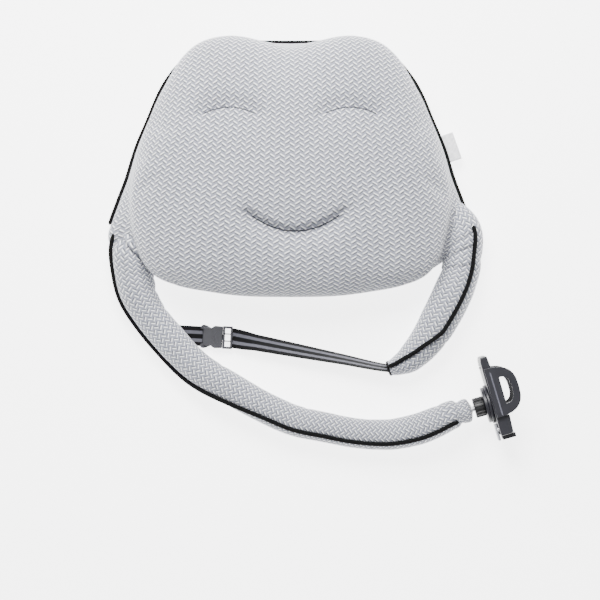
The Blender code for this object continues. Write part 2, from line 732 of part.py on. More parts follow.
# ---------------------------------------------------------------- waist strap and its buckle
def strap_section(middle, along, tilt, half_wide=WEBBING_WIDTH / 2, half_wall=WEBBING_WALL / 2):
    """Four corners of the webbing, turned by tilt from lying flat."""
    flat = along.cross(Vector((0, 0, 1))).normalized()
    wide = flat * math.cos(tilt) + Vector((0, 0, 1)) * math.sin(tilt)
    thick = along.cross(wide).normalized()
    return [middle + wide * a * half_wide + thick * b * half_wall
            for a, b in ((-1, -1), (1, -1), (1, 1), (-1, 1))]


def buckle_place():
    middle, side, *_ = LONG.station(BUCKLE_ALONG)
    axis = Vector((math.cos(BUCKLE_ANGLE), math.sin(BUCKLE_ANGLE), 0))
    mouth = middle + axis * BUCKLE_REACH
    mouth.z = BUCKLE_LEVEL
    place = bpy.data.objects.new("buckle_mouth", None)
    PARTS.objects.link(place)
    place.location = mouth
    place.rotation_euler = (0, 0, BUCKLE_ANGLE)
    return place, mouth, axis


def build_straps(arm_cut, mouth, axis):
    """A short strap sewn under the long arm, and a long one that twists into the short arm's cuff."""
    rear = mouth - axis * (FEMALE_LENGTH + GAP)
    hidden = BUCKLE_REACH - FEMALE_LENGTH
    rings = [strap_section(rear - axis * d, axis, 0) for d in (hidden, hidden / 2, 0)]
    short = piece("strap_short", loft_mesh("strap_short", rings), (BLACK_CORD, 0.75))
    boolean(short, arm_cut)
    start = mouth + axis * (MALE_LENGTH + 2 * GAP)
    cuff = SHORT.point(SHORT.length)
    end = SHORT.point(SHORT.length - CUFF_DEPTH + 5 * GAP)
    keys = [start.lerp(cuff, share) for share, _, _ in STRAP_TWIST] + [end]
    levels = [level for _, _, level in STRAP_TWIST]
    for key, level in zip(keys, levels):
        key.z = level
    keys[len(levels) - 1].z = cuff.z
    path = Route([(*key, 0, 0) for key in keys])
    free = path.length - (end - cuff).length
    rings = [strap_section(start, axis, 0)]
    for s in spread(STRAP_PITCH, path.length, STRAP_PITCH):
        turn = np.interp(s / free, [row[0] for row in STRAP_TWIST], [row[1] for row in STRAP_TWIST])
        rings.append(strap_section(path.point(s), path.direction(s), math.radians(turn)))
    piece("strap_long", loft_mesh("strap_long", rings), (BLACK_CORD, 0.75))


def build_buckle(place):
    half, tall = BUCKLE_WIDTH / 2, BUCKLE_HEIGHT / 2
    grey = (BUCKLE_GREY, 0.45)
    female = piece("buckle_female", box_mesh("buckle_female", (-FEMALE_LENGTH, -half, -tall),
                                             (0, half, tall)), grey, place)
    inside_y, inside_z = half - 0.0027, tall - BUCKLE_WALL
    cavity = box_mesh("buckle_cavity", (-FEMALE_LENGTH + 0.0022, -inside_y, -inside_z),
                      (0.01, inside_y, inside_z))
    boolean(female, cutter("buckle_cavity", cavity, place))
    window = box_mesh("buckle_window", (-FEMALE_LENGTH + 0.0022, -half - 0.01, -inside_z),
                      (-0.012, half + 0.01, inside_z))
    boolean(female, cutter("buckle_window", window, place))
    base_z = tall - 0.0008
    male = piece("buckle_male", box_mesh("buckle_male", (GAP, -half + 0.0007, -base_z),
                                         (MALE_LENGTH, half - 0.0007, base_z)), grey, place)
    tongue = box_mesh("buckle_tongue", (-0.020, -0.003, -0.0015), (0.001, 0.003, 0.0015))
    boolean(male, cutter("buckle_tongue", tongue, place), "UNION")
    for name, low, high in (("lower", -0.0115, -0.0052), ("middle", -0.0038, 0.0038), ("upper", 0.0052, 0.0115)):
        cell = box_mesh(f"ladder_{name}", (0.003, low, -0.02), (0.0099, high, 0.02))
        boolean(male, cutter(f"ladder_{name}", cell, place))
    outline = [
        (-0.0003, 0.0075), (-0.0003, 0.0110), (-0.0150, 0.0114), (-0.0205, 0.0142),
        (-0.0240, 0.0149), (-0.0265, 0.0142), (-PRONG_REACH, 0.0120), (-PRONG_REACH, 0.0095),
        (-0.0150, 0.0080),
    ]
    for name, side in (("buckle_prong_upper", 1), ("buckle_prong_lower", -1)):
        shape = [(x, side * y) for x, y in outline]
        piece(name, plate_mesh(name, [shape], 2 * inside_z - 0.0012, None), grey, place)


# ---------------------------------------------------------------- ball joint and phone holder
def holder_place():
    """An empty at the ball: X up, Y along the holder to its foot, Z out along the arm."""
    out = Vector((math.cos(TIP_ANGLE), math.sin(TIP_ANGLE), 0))
    up = Vector((0, 0, 1))
    place = bpy.data.objects.new("ball_middle", None)
    PARTS.objects.link(place)
    place.matrix_world = Matrix.Translation(BALL) @ (
        Matrix((up, out.cross(up), out)).transposed().to_4x4())
    return place


def arc(radius, first, last, count):
    """Points (radius, level) of a sphere's profile, by the angle down from the +Z pole."""
    turns = [math.radians(first + (last - first) * k / count) for k in range(count + 1)]
    return [(radius * math.sin(a), radius * math.cos(a)) for a in turns]


def build_ball_joint(place):
    plastic = (CHARCOAL, 0.4)
    face = LONG_ARM_END[-1][0]
    shank = 0.003
    ferrule_back = face - FERRULE_LENGTH
    ferrule = [(0, ferrule_back), (FERRULE_RADIUS, ferrule_back), (FERRULE_RADIUS, face), (shank + GAP, face),
               (shank + GAP, face - 0.0105), (0, face - 0.0105)]
    piece("end_ferrule", turned_mesh("end_ferrule", ferrule, 16), (STEEL, 0.35, 1.0), place)
    neck = 0.0034
    neck_turn = math.degrees(math.asin(neck / BALL_RADIUS))
    stud = arc(BALL_RADIUS, 0, 180 - neck_turn, 8) + [
        (neck, face + 0.0015), (0.006, face + 0.0015), (0.006, face + GAP), (shank, face + GAP),
        (shank, face - 0.0095), (0, face - 0.0095)]
    piece("ball_stud", turned_mesh("ball_stud", stud, 16), (STEEL, 0.25, 1.0), place)
    inner = BALL_RADIUS + GAP
    outer = inner + LINER_WALL
    liner = arc(outer, 0, 115, 6) + arc(inner, 115, 0, 6)
    piece("ball_liner", turned_mesh("ball_liner", liner, 16), ((0.7, 0.7, 0.68), 0.5), place)
    cup = outer + GAP
    socket = arc(cup, 0, 116, 6)[::-1]
    socket = [(SOCKET_RADIUS, socket[0][1])] + socket + [
        (0, 0.0106), (FLANGE_RADIUS, 0.0106), (FLANGE_RADIUS, 0.0069), (SOCKET_RADIUS, 0.0069)]
    piece("socket_housing", turned_mesh("socket_housing", socket, 24), plastic, place)
    bore = SOCKET_RADIUS + GAP
    nut = [(bore, NUT_HALF), (NUT_RADIUS, NUT_HALF), (NUT_RADIUS, -NUT_HALF), (0.0080, -NUT_HALF),
           (0.0080, -NUT_HALF + 0.0016), (bore, -NUT_HALF + 0.0016)]
    piece("collar_nut", turned_mesh("collar_nut", nut, 24), plastic, place)


def build_holder_shells(place):
    plastic = (CHARCOAL, 0.4)
    disc = [(0, 0.0109), (DISC_RADIUS, 0.0109), (DISC_RADIUS, DISC_FRONT), (0, DISC_FRONT)]
    piece("swivel_disc", turned_mesh("swivel_disc", disc, 24), plastic, place)
    half, wall = SLAB_HALF, SHELL_WALL
    slot_gap = 2 * GAP
    mid = (SLAB_SPLIT - SLIDE_WALL / 2 - slot_gap, SLAB_SPLIT + SLIDE_WALL / 2 + slot_gap)
    tongue_slot = cutter("tongue_slot", box_mesh(
        "tongue_slot", (half - 2 * wall, TONGUE_MIDDLE - TONGUE_WIDTH / 2 - slot_gap, mid[0]),
        (half + 0.01, TONGUE_MIDDLE + TONGUE_WIDTH / 2 + slot_gap, mid[1])), place)
    stem_slot = cutter("stem_slot", box_mesh(
        "stem_slot", (-STEM_WIDTH / 2 - slot_gap, SLAB_BOTTOM - 2 * wall, mid[0]),
        (STEM_WIDTH / 2 + slot_gap, SLAB_BOTTOM + 0.01, mid[1])), place)
    shells = (
        ("holder_back_shell", SLAB_BACK, SLAB_SPLIT - GAP / 2, SLAB_BACK + wall, SLAB_SPLIT + 0.01),
        ("holder_front_shell", SLAB_SPLIT + GAP / 2, SLAB_FRONT, SLAB_SPLIT - 0.01, SLAB_FRONT - wall),
    )
    made = {}
    for name, low, high, hollow_low, hollow_high in shells:
        shell = piece(name, box_mesh(name, (-half, SLAB_TOP, low), (half, SLAB_BOTTOM, high)), plastic, place)
        hollow = box_mesh(name + "_hollow", (-half + wall, SLAB_TOP + wall, hollow_low),
                          (half - wall, SLAB_BOTTOM - wall, hollow_high))
        boolean(shell, cutter(name + "_hollow", hollow, place))
        boolean(shell, tongue_slot)
        boolean(shell, stem_slot)
        made[name] = shell
    block = box_mesh("front_block", (-0.016, 0.0175, SLAB_FRONT - 0.001), (0.016, SLAB_BOTTOM - 0.001, 0.0325))
    boolean(made["holder_front_shell"], cutter("front_block", block, place), "UNION")
    clip = box_mesh("back_badge_plate", (-0.012, 0.026, 0.0115), (0.012, 0.047, SLAB_BACK - GAP))
    piece("back_plate", clip, ((0.6, 0.6, 0.6), 0.5), place)
    for k, spot in enumerate(SCREW_SPOTS, 1):
        build_screw(k, spot, place, made["holder_back_shell"])


def build_screw(k, spot, place, shell):
    """A screw through the back shell's floor that draws the front shell on."""
    head, shank = 0.0026, 0.0011
    low = SLAB_BACK - GAP
    profile = [(0, low - 0.0014), (head, low - 0.0014), (head, low), (shank, low),
               (shank, SLAB_FRONT - SHELL_WALL - GAP), (0, SLAB_FRONT - SHELL_WALL - GAP)]
    mesh = turned_mesh(f"housing_screw_{k}", profile, 12)
    mesh.transform(Matrix.Translation((*spot, 0)))
    piece(f"housing_screw_{k}", mesh, (STEEL, 0.3, 1.0), place)
    hole = box_mesh(f"screw_hole_{k}", (spot[0] - 0.0016, spot[1] - 0.0016, SLAB_BACK - 0.001),
                    (spot[0] + 0.0016, spot[1] + 0.0016, SLAB_BACK + SHELL_WALL + 0.0005))
    boolean(shell, cutter(f"screw_hole_{k}", hole, place))


def d_outline(top, bottom, back, front, count=14, fullness=2.8):
    """A straight back edge and a full round front, as (along, out) points."""
    middle, half = (top + bottom) / 2, (bottom - top) / 2
    points = []
    for k in range(count + 1):
        turn = math.pi * k / count
        along = math.copysign(abs(math.cos(turn)) ** (2 / fullness), math.cos(turn))
        points.append((middle + half * along, back + (front - back) * math.sin(turn) ** (2 / fullness)))
    return points


def jaw_frame(level):
    """Lays an (along, out) plate across the holder at a level along the holder's X."""
    return Matrix(((0, 0, 1, level), (1, 0, 0, 0), (0, 1, 0, 0), (0, 0, 0, 1)))


def build_jaws(place):
    """Two D-shaped loop jaws with rubber pads: the upper one slides up, the lower one is fixed."""
    plastic, rubber = (CHARCOAL, 0.4), ((0.02, 0.02, 0.022), 0.85)
    hole = d_outline(JAW_TOP + 1.6 * JAW_RIM, JAW_BOTTOM - 1.6 * JAW_RIM, 0.032, JAW_REACH - JAW_RIM)
    outer = d_outline(JAW_TOP, JAW_BOTTOM, 0.0165, JAW_REACH)
    pad = d_outline(JAW_TOP + 0.002, JAW_BOTTOM - 0.002, SLAB_FRONT + 2 * GAP, JAW_REACH - 0.0015)
    low = SLAB_HALF + 2 * GAP
    middle = low + JAW_WALL / 2
    tongue_y = (TONGUE_MIDDLE - TONGUE_WIDTH / 2, TONGUE_MIDDLE + TONGUE_WIDTH / 2)
    for name, side in (("sliding", 1), ("fixed", -1)):
        jaw = piece(f"jaw_{name}", plate_mesh(f"jaw_{name}", [outer, hole], JAW_WALL,
                                              jaw_frame(side * middle)), plastic, place)
        if side > 0:
            tongue = box_mesh("jaw_tongue", (-0.0085, tongue_y[0], SLAB_SPLIT - SLIDE_WALL / 2),
                              (low + 0.001, tongue_y[1], SLAB_SPLIT + SLIDE_WALL / 2))
            boolean(jaw, cutter("jaw_tongue", tongue, place), "UNION")
        pad_level = side * (low - GAP - PAD_WALL / 2)
        piece(f"jaw_pad_{name}", plate_mesh(f"jaw_pad_{name}", [pad, hole], PAD_WALL,
                                            jaw_frame(pad_level)), rubber, place)


def build_spring_and_foot(place):
    first, last = -SLAB_HALF + SHELL_WALL + SPRING_WIRE + GAP, -0.0085 - SPRING_WIRE - GAP
    count = SPRING_TURNS * 8
    points = []
    for k in range(count + 1):
        turn = 2 * math.pi * k / 8
        points.append((first + (last - first) * k / count,
                       TONGUE_MIDDLE + SPRING_COIL * math.cos(turn), SLAB_SPLIT + SPRING_COIL * math.sin(turn)))
    piece("jaw_spring", round_rod("jaw_spring", points, SPRING_WIRE, 0), (STEEL, 0.3, 1.0), place)
    foot = piece("support_foot", box_mesh("support_foot", (-0.014, SLAB_BOTTOM + 2 * GAP, 0.017),
                                          (0.014, SLAB_BOTTOM + 2 * GAP + FOOT_WALL, 0.034)),
                 (CHARCOAL, 0.4), place)
    stem = box_mesh("foot_stem", (-STEM_WIDTH / 2, 0.006, SLAB_SPLIT - SLIDE_WALL / 2),
                    (STEM_WIDTH / 2, SLAB_BOTTOM + 0.002, SLAB_SPLIT + SLIDE_WALL / 2))
    boolean(foot, cutter("foot_stem", stem, place), "UNION")


# ---------------------------------------------------------------- assembly
def clearance_tube(name, route, grow=2 * GAP):
    return cutter(name, loft_mesh(name, arm_rings(route, spread(0, route.length, 0.012), -grow)))


def main():
    front = build_covers()
    build_core()
    piping = build_body_piping()
    build_label()
    build_stitches(front)
    build_zip()
    shoulder_cut = cutter("shoulder_cut", body_solid("shoulder_cut", BACK_ROWS + FRONT_ROWS, -2 * GAP))
    build_long_arm(shoulder_cut)
    build_short_arm(shoulder_cut)
    long_cut = clearance_tube("long_arm_clearance", LONG)
    boolean(piping, long_cut)
    boolean(piping, clearance_tube("short_arm_clearance", SHORT))
    place, mouth, axis = buckle_place()
    build_straps(long_cut, mouth, axis)
    build_buckle(place)
    centre = holder_place()
    build_ball_joint(centre)
    build_holder_shells(centre)
    build_jaws(centre)
    build_spring_and_foot(centre)
    bpy.context.view_layer.update()


main()
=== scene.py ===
# %% [markdown]
# # A lumbar support cushion with padded arms and a phone holder
# The CAD model gives every size and every moving body. This lesson dresses it: knitted covers that are
# swollen by a cloth simulation, piping, striped webbing, a moulded buckle and a plastic phone clamp.

# %% Load the frame
import math

import bmesh
import bpy
import numpy as np
from mathutils import Matrix, Vector, noise
from mathutils.bvhtree import BVHTree


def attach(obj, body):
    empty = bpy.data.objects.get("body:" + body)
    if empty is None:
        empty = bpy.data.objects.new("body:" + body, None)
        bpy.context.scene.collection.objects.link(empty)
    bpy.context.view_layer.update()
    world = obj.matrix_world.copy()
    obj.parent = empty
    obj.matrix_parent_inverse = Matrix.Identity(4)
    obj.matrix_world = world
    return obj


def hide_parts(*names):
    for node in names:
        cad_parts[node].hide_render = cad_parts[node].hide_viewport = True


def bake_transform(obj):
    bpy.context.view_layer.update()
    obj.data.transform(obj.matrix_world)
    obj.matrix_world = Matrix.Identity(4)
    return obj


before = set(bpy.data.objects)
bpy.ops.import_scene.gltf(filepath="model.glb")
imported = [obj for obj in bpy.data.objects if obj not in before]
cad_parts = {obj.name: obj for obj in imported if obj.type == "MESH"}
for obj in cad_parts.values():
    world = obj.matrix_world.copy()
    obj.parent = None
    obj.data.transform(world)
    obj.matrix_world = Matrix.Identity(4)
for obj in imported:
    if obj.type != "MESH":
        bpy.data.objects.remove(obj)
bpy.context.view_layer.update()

scene = bpy.context.scene
MM = 0.001


# %% [markdown]
# ## Small tools
# A colour is read from its hex value and turned from sRGB to linear light once, here. One function adds
# a shader node, sets its values and links its inputs, so each material below reads as a list of steps.

# %% Colours and nodes
def colour(hex_value):
    channels = [int(hex_value[i:i + 2], 16) / 255 for i in (1, 3, 5)]
    linear = [c / 12.92 if c <= 0.04045 else ((c + 0.055) / 1.055) ** 2.4 for c in channels]
    return (*linear, 1.0)


def add_node(tree, kind, inputs=None, **settings):
    """One node: settings are its own properties, inputs hold values or the sockets that feed it."""
    node = tree.nodes.new(kind)
    for key, value in settings.items():
        setattr(node, key, value)
    for key, value in (inputs or {}).items():
        if isinstance(value, bpy.types.NodeSocket):
            tree.links.new(value, node.inputs[key])
        else:
            node.inputs[key].default_value = value
    return node


def new_material(name, base, roughness, **values):
    """A Principled material with a plain colour, ready for its pattern."""
    made = bpy.data.materials.new(name)
    made.use_nodes = True
    shader = made.node_tree.nodes["Principled BSDF"]
    shader.inputs["Base Color"].default_value = colour(base)
    shader.inputs["Roughness"].default_value = roughness
    for key, value in values.items():
        shader.inputs[key.replace("_", " ")].default_value = value
    return made, made.node_tree, shader


print("mid grey in linear light", [round(c, 3) for c in colour("#808080")[:3]])


# %% [markdown]
# ## Laying a grid over a form
# Covers, sleeves, webbing and cords are all one idea: the grid operator makes a flat sheet of faces, and
# a function says where each point of it goes. The same function's place on the sheet, in metres, is kept
# as the UV map, so a knit keeps its real size on every piece.

# %% Shaped grids and finished pieces
def shaped_grid(across, along, place, cloth_at, join=False):
    bm = bmesh.new()
    bmesh.ops.create_grid(bm, x_segments=across, y_segments=along, size=0.5)
    layer = bm.loops.layers.uv.new("cloth")
    spots = {v: (v.co.x + 0.5, v.co.y + 0.5) for v in bm.verts}
    for face in bm.faces:
        for loop in face.loops:
            loop[layer].uv = cloth_at(*spots[loop.vert])
    for v, spot in spots.items():
        v.co = place(*spot)
    if join:
        bmesh.ops.remove_doubles(bm, verts=bm.verts, dist=1e-5)
    return bm


def new_object(name, bm, material, sharp=35):
    mesh = bpy.data.meshes.new(name)
    bm.normal_update()
    bm.to_mesh(mesh)
    bm.free()
    mesh.materials.append(material)
    mesh.shade_smooth()
    mesh.set_sharp_from_angle(angle=math.radians(sharp))
    obj = bpy.data.objects.new(name, mesh)
    scene.collection.objects.link(obj)
    return obj


def settle(obj, body, slot, *nodes):
    """Gives a piece its body and hides the CAD nodes it stands for; slot is not used."""
    if nodes:
        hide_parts(*nodes)
    if body:
        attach(obj, body)
    return obj


def solid_wall(obj, wall):
    shell = obj.modifiers.new("wall", "SOLIDIFY")
    shell.thickness = wall
    shell.offset = -1
    return obj


# %% [markdown]
# ## Smooth paths
# An arm or a strap follows a few points with a width and a height at each. A cubic curve through them
# gives a smooth path that is then read by the distance along it.

# %% Paths
def smooth_through(places, values, at):
    at = min(max(at, places[0]), places[-1])
    i = min(max(int(np.searchsorted(places, at, side="right")) - 1, 0), len(places) - 2)

    def slope(k):
        low, high = max(k - 1, 0), min(k + 1, len(places) - 1)
        return (values[high] - values[low]) / (places[high] - places[low])

    span = places[i + 1] - places[i]
    t = (at - places[i]) / span
    return ((2 * t**3 - 3 * t**2 + 1) * values[i] + (t**3 - 2 * t**2 + t) * span * slope(i)
            + (-2 * t**3 + 3 * t**2) * values[i + 1] + (t**3 - t**2) * span * slope(i + 1))


class Route:
    """A path through (x, y, z, half width, half height), read by the distance along it."""

    def __init__(self, keys, fine=2 * MM):
        keys = np.array(keys, dtype=float)
        rough = np.r_[0, np.cumsum(np.linalg.norm(np.diff(keys[:, :3], axis=0), axis=1))]
        places = np.linspace(0, rough[-1], int(rough[-1] / fine) + 2)
        self.rows = np.array([smooth_through(rough, keys, at) for at in places])
        steps = np.linalg.norm(np.diff(self.rows[:, :3], axis=0), axis=1)
        self.travelled = np.r_[0, np.cumsum(steps)]
        self.length = float(self.travelled[-1])

    def row(self, distance):
        return np.array([np.interp(distance, self.travelled, c) for c in self.rows.T])

    def point(self, distance):
        return Vector(self.row(distance)[:3])

    def direction(self, distance, reach=3 * MM):
        ahead = self.row(min(distance + reach, self.length))[:3]
        behind = self.row(max(distance - reach, 0))[:3]
        return Vector(ahead - behind).normalized()

    def station(self, distance):
        along = self.direction(distance)
        side = along.cross(Vector((0, 0, 1))).normalized()
        wide, high = self.row(distance)[3:]
        return self.point(distance), side, side.cross(along), wide, high


def ease(low, high, value):
    """Rises smoothly from 0 at low to 1 at high, which may be the smaller of the two."""
    t = min(max((value - low) / (high - low), 0), 1)
    return t * t * (3 - 2 * t)


# %% [markdown]
# ## Camera, floor and light
# The cushion is seen from straight above with a long lens, so that its sides stay hidden behind the
# bulge. A large soft light from the top edge shows the quilting, and a pale room fills the shadows.

# %% Camera
CAMERA_HEIGHT = 3.6
SENSOR_WIDTH = 36           # in millimetres, as the camera takes it
VIEW_WIDTH = 0.750
VIEW_LEVEL = 0.040           # the level above the floor at which the view is that wide
camera_data = bpy.data.cameras.new("camera")
camera_data.sensor_width = SENSOR_WIDTH
camera_data.lens = SENSOR_WIDTH * (CAMERA_HEIGHT - VIEW_LEVEL) / VIEW_WIDTH
camera = bpy.data.objects.new("camera", camera_data)
camera.location = (0.0125, -0.160, CAMERA_HEIGHT)
scene.collection.objects.link(camera)
scene.camera = camera
print("lens", round(camera_data.lens, 1), "mm at", CAMERA_HEIGHT, "m")

# %% Floor and lights
floor_material, _, floor_shader = new_material("white_paper_sweep", "#f6f6f6", 0.9)
bm = bmesh.new()
bmesh.ops.create_grid(bm, x_segments=1, y_segments=1, size=6)
floor = new_object("floor", bm, floor_material)
floor_shader.inputs["Emission Color"].default_value = (1, 1, 1, 1)
floor_shader.inputs["Emission Strength"].default_value = 4.0
FLOOR_DROP = 0.2 * MM        # keeps the floor clear of the cushion's flat back
floor.location.z = -FLOOR_DROP
LAMPS = {"soft_top": ((-0.15, 0.80, 1.30), 0.8, 64), "soft_front": ((0.5, -1.1, 1.6), 1.6, 4)}
for name, (place, size, power) in LAMPS.items():
    lamp = bpy.data.lights.new(name, "AREA")
    lamp.size, lamp.energy = size, power
    light = bpy.data.objects.new(name, lamp)
    light.location = place
    light.rotation_euler = (Vector((0, -0.05, 0)) - Vector(place)).to_track_quat("-Z", "Y").to_euler()
    scene.collection.objects.link(light)
world = bpy.data.worlds.new("pale_room")
world.use_nodes = True
world.node_tree.nodes["Background"].inputs["Color"].default_value = (1, 1, 1, 1)
world.node_tree.nodes["Background"].inputs["Strength"].default_value = 0.55
scene.world = world
print("lamps", ", ".join(LAMPS))

# %% [markdown]
# ## Herringbone knit
# The cover is a jacquard knit in polyester: short white floats lie on a grey ground, slanting one way in
# one column and the other way in the next. It gives the eye a soft zigzag with no gloss. Each float is
# drawn from its distance to a slanted line in its own cell of 5.6 by 6.8 mm, and the same mask raises it.
# A dark line along one side of each float is painted shadow, the shade the raised float casts on the ground.

# %% The knit
KNIT_COLUMN, KNIT_ROW = 5.6 * MM, 6.8 * MM
FLOAT_SLANT = math.radians(35)
FLOAT_HALF_LENGTH, FLOAT_HALF_WIDTH = 3.4 * MM, 0.85 * MM
SHADOW_BESIDE = 1.55 * MM       # from the middle of a float to the middle of its painted shadow
SHADOW_EDGE, SHADOW_CORE = 1.0 * MM, 0.3 * MM
KNIT_DRIFT = 1.6 * MM        # how far the yarn wanders from a perfect grid
KNIT_RELIEF = 0.5 * MM


def knit_material(name, ground, thread, shadow_colour):
    made, tree, shader = new_material(name, ground, 0.88, Sheen_Weight=0.25, Sheen_Roughness=0.5)
    uv = add_node(tree, "ShaderNodeUVMap", uv_map="cloth").outputs[0]
    place = add_node(tree, "ShaderNodeTexCoord").outputs["Object"]
    drift = add_node(tree, "ShaderNodeTexNoise", {"Vector": place, "Scale": 90, "Detail": 2}).outputs["Color"]
    shift = add_node(tree, "ShaderNodeVectorMath", {0: drift, 1: (0.5, 0.5, 0.5)},
                     operation="SUBTRACT").outputs[0]
    small = add_node(tree, "ShaderNodeVectorMath", {0: shift, "Scale": KNIT_DRIFT},
                     operation="SCALE").outputs[0]
    spot = add_node(tree, "ShaderNodeVectorMath", {0: uv, 1: small}, operation="ADD").outputs[0]
    parts = add_node(tree, "ShaderNodeSeparateXYZ", {0: spot})
    column = add_node(tree, "ShaderNodeMath", {0: parts.outputs[0], 1: KNIT_COLUMN},
                      operation="DIVIDE").outputs[0]
    whole = add_node(tree, "ShaderNodeMath", {0: column}, operation="FLOOR").outputs[0]
    odd = add_node(tree, "ShaderNodeMath", {0: whole, 1: 2.0}, operation="FLOORED_MODULO").outputs[0]
    lean = add_node(tree, "ShaderNodeMath", {0: odd, 1: 2.0, 2: -1.0}, operation="MULTIPLY_ADD").outputs[0]
    inside = add_node(tree, "ShaderNodeMath", {0: column, 1: whole}, operation="SUBTRACT").outputs[0]
    x = add_node(tree, "ShaderNodeMath", {0: inside, 1: KNIT_COLUMN, 2: -KNIT_COLUMN / 2},
                 operation="MULTIPLY_ADD").outputs[0]
    row = add_node(tree, "ShaderNodeMath", {0: parts.outputs[1], 1: KNIT_ROW}, operation="DIVIDE").outputs[0]
    stagger = add_node(tree, "ShaderNodeMath", {0: odd, 1: 0.5, 2: row}, operation="MULTIPLY_ADD").outputs[0]
    step = add_node(tree, "ShaderNodeMath", {0: stagger}, operation="FRACT").outputs[0]
    y = add_node(tree, "ShaderNodeMath", {0: step, 1: KNIT_ROW, 2: -KNIT_ROW / 2},
                 operation="MULTIPLY_ADD").outputs[0]
    leaned = add_node(tree, "ShaderNodeMath", {0: x, 1: lean}, operation="MULTIPLY").outputs[0]
    across_x = add_node(tree, "ShaderNodeMath", {0: leaned, 1: -math.sin(FLOAT_SLANT)},
                        operation="MULTIPLY").outputs[0]
    across = add_node(tree, "ShaderNodeMath", {0: y, 1: math.cos(FLOAT_SLANT), 2: across_x},
                      operation="MULTIPLY_ADD").outputs[0]
    along_x = add_node(tree, "ShaderNodeMath", {0: leaned, 1: math.cos(FLOAT_SLANT)},
                       operation="MULTIPLY").outputs[0]
    along = add_node(tree, "ShaderNodeMath", {0: y, 1: math.sin(FLOAT_SLANT), 2: along_x},
                     operation="MULTIPLY_ADD").outputs[0]
    masks = []
    for distance, edge in ((across, FLOAT_HALF_WIDTH), (along, FLOAT_HALF_LENGTH)):
        size = add_node(tree, "ShaderNodeMath", {0: distance}, operation="ABSOLUTE").outputs[0]
        masks.append(add_node(tree, "ShaderNodeMapRange", {
            "Value": size, "From Min": edge * 1.25, "From Max": edge * 0.55},
            interpolation_type="SMOOTHSTEP").outputs[0])
    float_mask = add_node(tree, "ShaderNodeMath", {0: masks[0], 1: masks[1]}, operation="MULTIPLY").outputs[0]
    fibre = add_node(tree, "ShaderNodeTexNoise", {"Vector": place, "Scale": 900, "Detail": 3}).outputs["Fac"]
    patch = add_node(tree, "ShaderNodeTexNoise", {"Vector": place, "Scale": 14, "Detail": 3}).outputs["Fac"]
    shade = add_node(tree, "ShaderNodeMath", {0: fibre, 1: 0.30, 2: 0.72},
                     operation="MULTIPLY_ADD").outputs[0]
    tone = add_node(tree, "ShaderNodeMath", {0: patch, 1: 0.14, 2: shade},
                    operation="MULTIPLY_ADD").outputs[0]
    woven_and_shadow = add_node(tree, "ShaderNodeMix", {0: float_mask, 6: colour(ground), 7: colour(thread)},
                     data_type="RGBA").outputs[2]
    # Painted shadow: a dark line along one side of each float
    below = add_node(tree, "ShaderNodeMath", {0: across, 1: SHADOW_BESIDE}, operation="ADD").outputs[0]
    shadow_distance = add_node(tree, "ShaderNodeMath", {0: below}, operation="ABSOLUTE").outputs[0]
    shadow_mask = add_node(tree, "ShaderNodeMapRange", {
        "Value": shadow_distance, "From Min": SHADOW_EDGE, "From Max": SHADOW_CORE, "To Max": 0.75},
        interpolation_type="SMOOTHSTEP").outputs[0]
    shadow_here = add_node(tree, "ShaderNodeMath", {0: shadow_mask, 1: masks[1]}, operation="MULTIPLY").outputs[0]
    woven_and_shadow = add_node(tree, "ShaderNodeMix", {0: shadow_here, 6: woven_and_shadow, 7: colour(shadow_colour)},
                     data_type="RGBA").outputs[2]
    final = add_node(tree, "ShaderNodeVectorMath", {0: woven_and_shadow, "Scale": tone}, operation="SCALE").outputs[0]
    tree.links.new(final, shader.inputs["Base Color"])
    height = add_node(tree, "ShaderNodeMath", {0: fibre, 1: 0.25, 2: float_mask},
                      operation="MULTIPLY_ADD").outputs[0]
    bump = add_node(tree, "ShaderNodeBump", {
        "Height": height, "Distance": KNIT_RELIEF, "Strength": 0.75}).outputs[0]
    tree.links.new(bump, shader.inputs["Normal"])
    return made


# The last colour of each knit is the painted shadow beside its floats
grey_knit = knit_material("herringbone_polyester_knit", "#9194a0", "#ffffff", "#363840")
back_knit = knit_material("plain_polyester_knit", "#a9acb5", "#c9cbd2", "#8f929c")
print("knit cell", round(KNIT_COLUMN / MM, 1), "x", round(KNIT_ROW / MM, 1), "mm")

# %% [markdown]
# ## Cords, webbing and thread
# Piping is a twisted black cord, the webbing is black nylon with two grey stripes woven in, and the
# quilting thread is dark polyester. All are matte, and their ribs are what catches the light.


# %% Cord, webbing, thread and label
def ribbed_cloth(name, base, rib, slant, depth, roughness=0.75, gloss=0.5):
    """Cloth whose ribs are a wave over the UV map; rib is their pitch in metres."""
    made, tree, shader = new_material(name, base, roughness, Specular_IOR_Level=gloss)
    uv = add_node(tree, "ShaderNodeUVMap", uv_map="cloth").outputs[0]
    turned = add_node(tree, "ShaderNodeMapping", {"Vector": uv, "Rotation": (0, 0, slant)}).outputs[0]
    wave = add_node(tree, "ShaderNodeTexWave", {"Vector": turned, "Scale": 0.314 / rib, "Distortion": 0.6,
                                                "Detail": 1.0}, bands_direction="Y").outputs["Fac"]
    bump = add_node(tree, "ShaderNodeBump", {"Height": wave, "Distance": depth, "Strength": 0.8}).outputs[0]
    tree.links.new(bump, shader.inputs["Normal"])
    place = add_node(tree, "ShaderNodeTexCoord").outputs["Object"]
    lint = add_node(tree, "ShaderNodeTexNoise", {"Vector": place, "Scale": 300, "Detail": 3}).outputs["Fac"]
    tone = add_node(tree, "ShaderNodeMath", {0: lint, 1: 0.7, 2: 0.65}, operation="MULTIPLY_ADD").outputs[0]
    mixed = add_node(tree, "ShaderNodeVectorMath", {0: colour(base)[:3], "Scale": tone},
                     operation="SCALE").outputs[0]
    tree.links.new(mixed, shader.inputs["Base Color"])
    return made


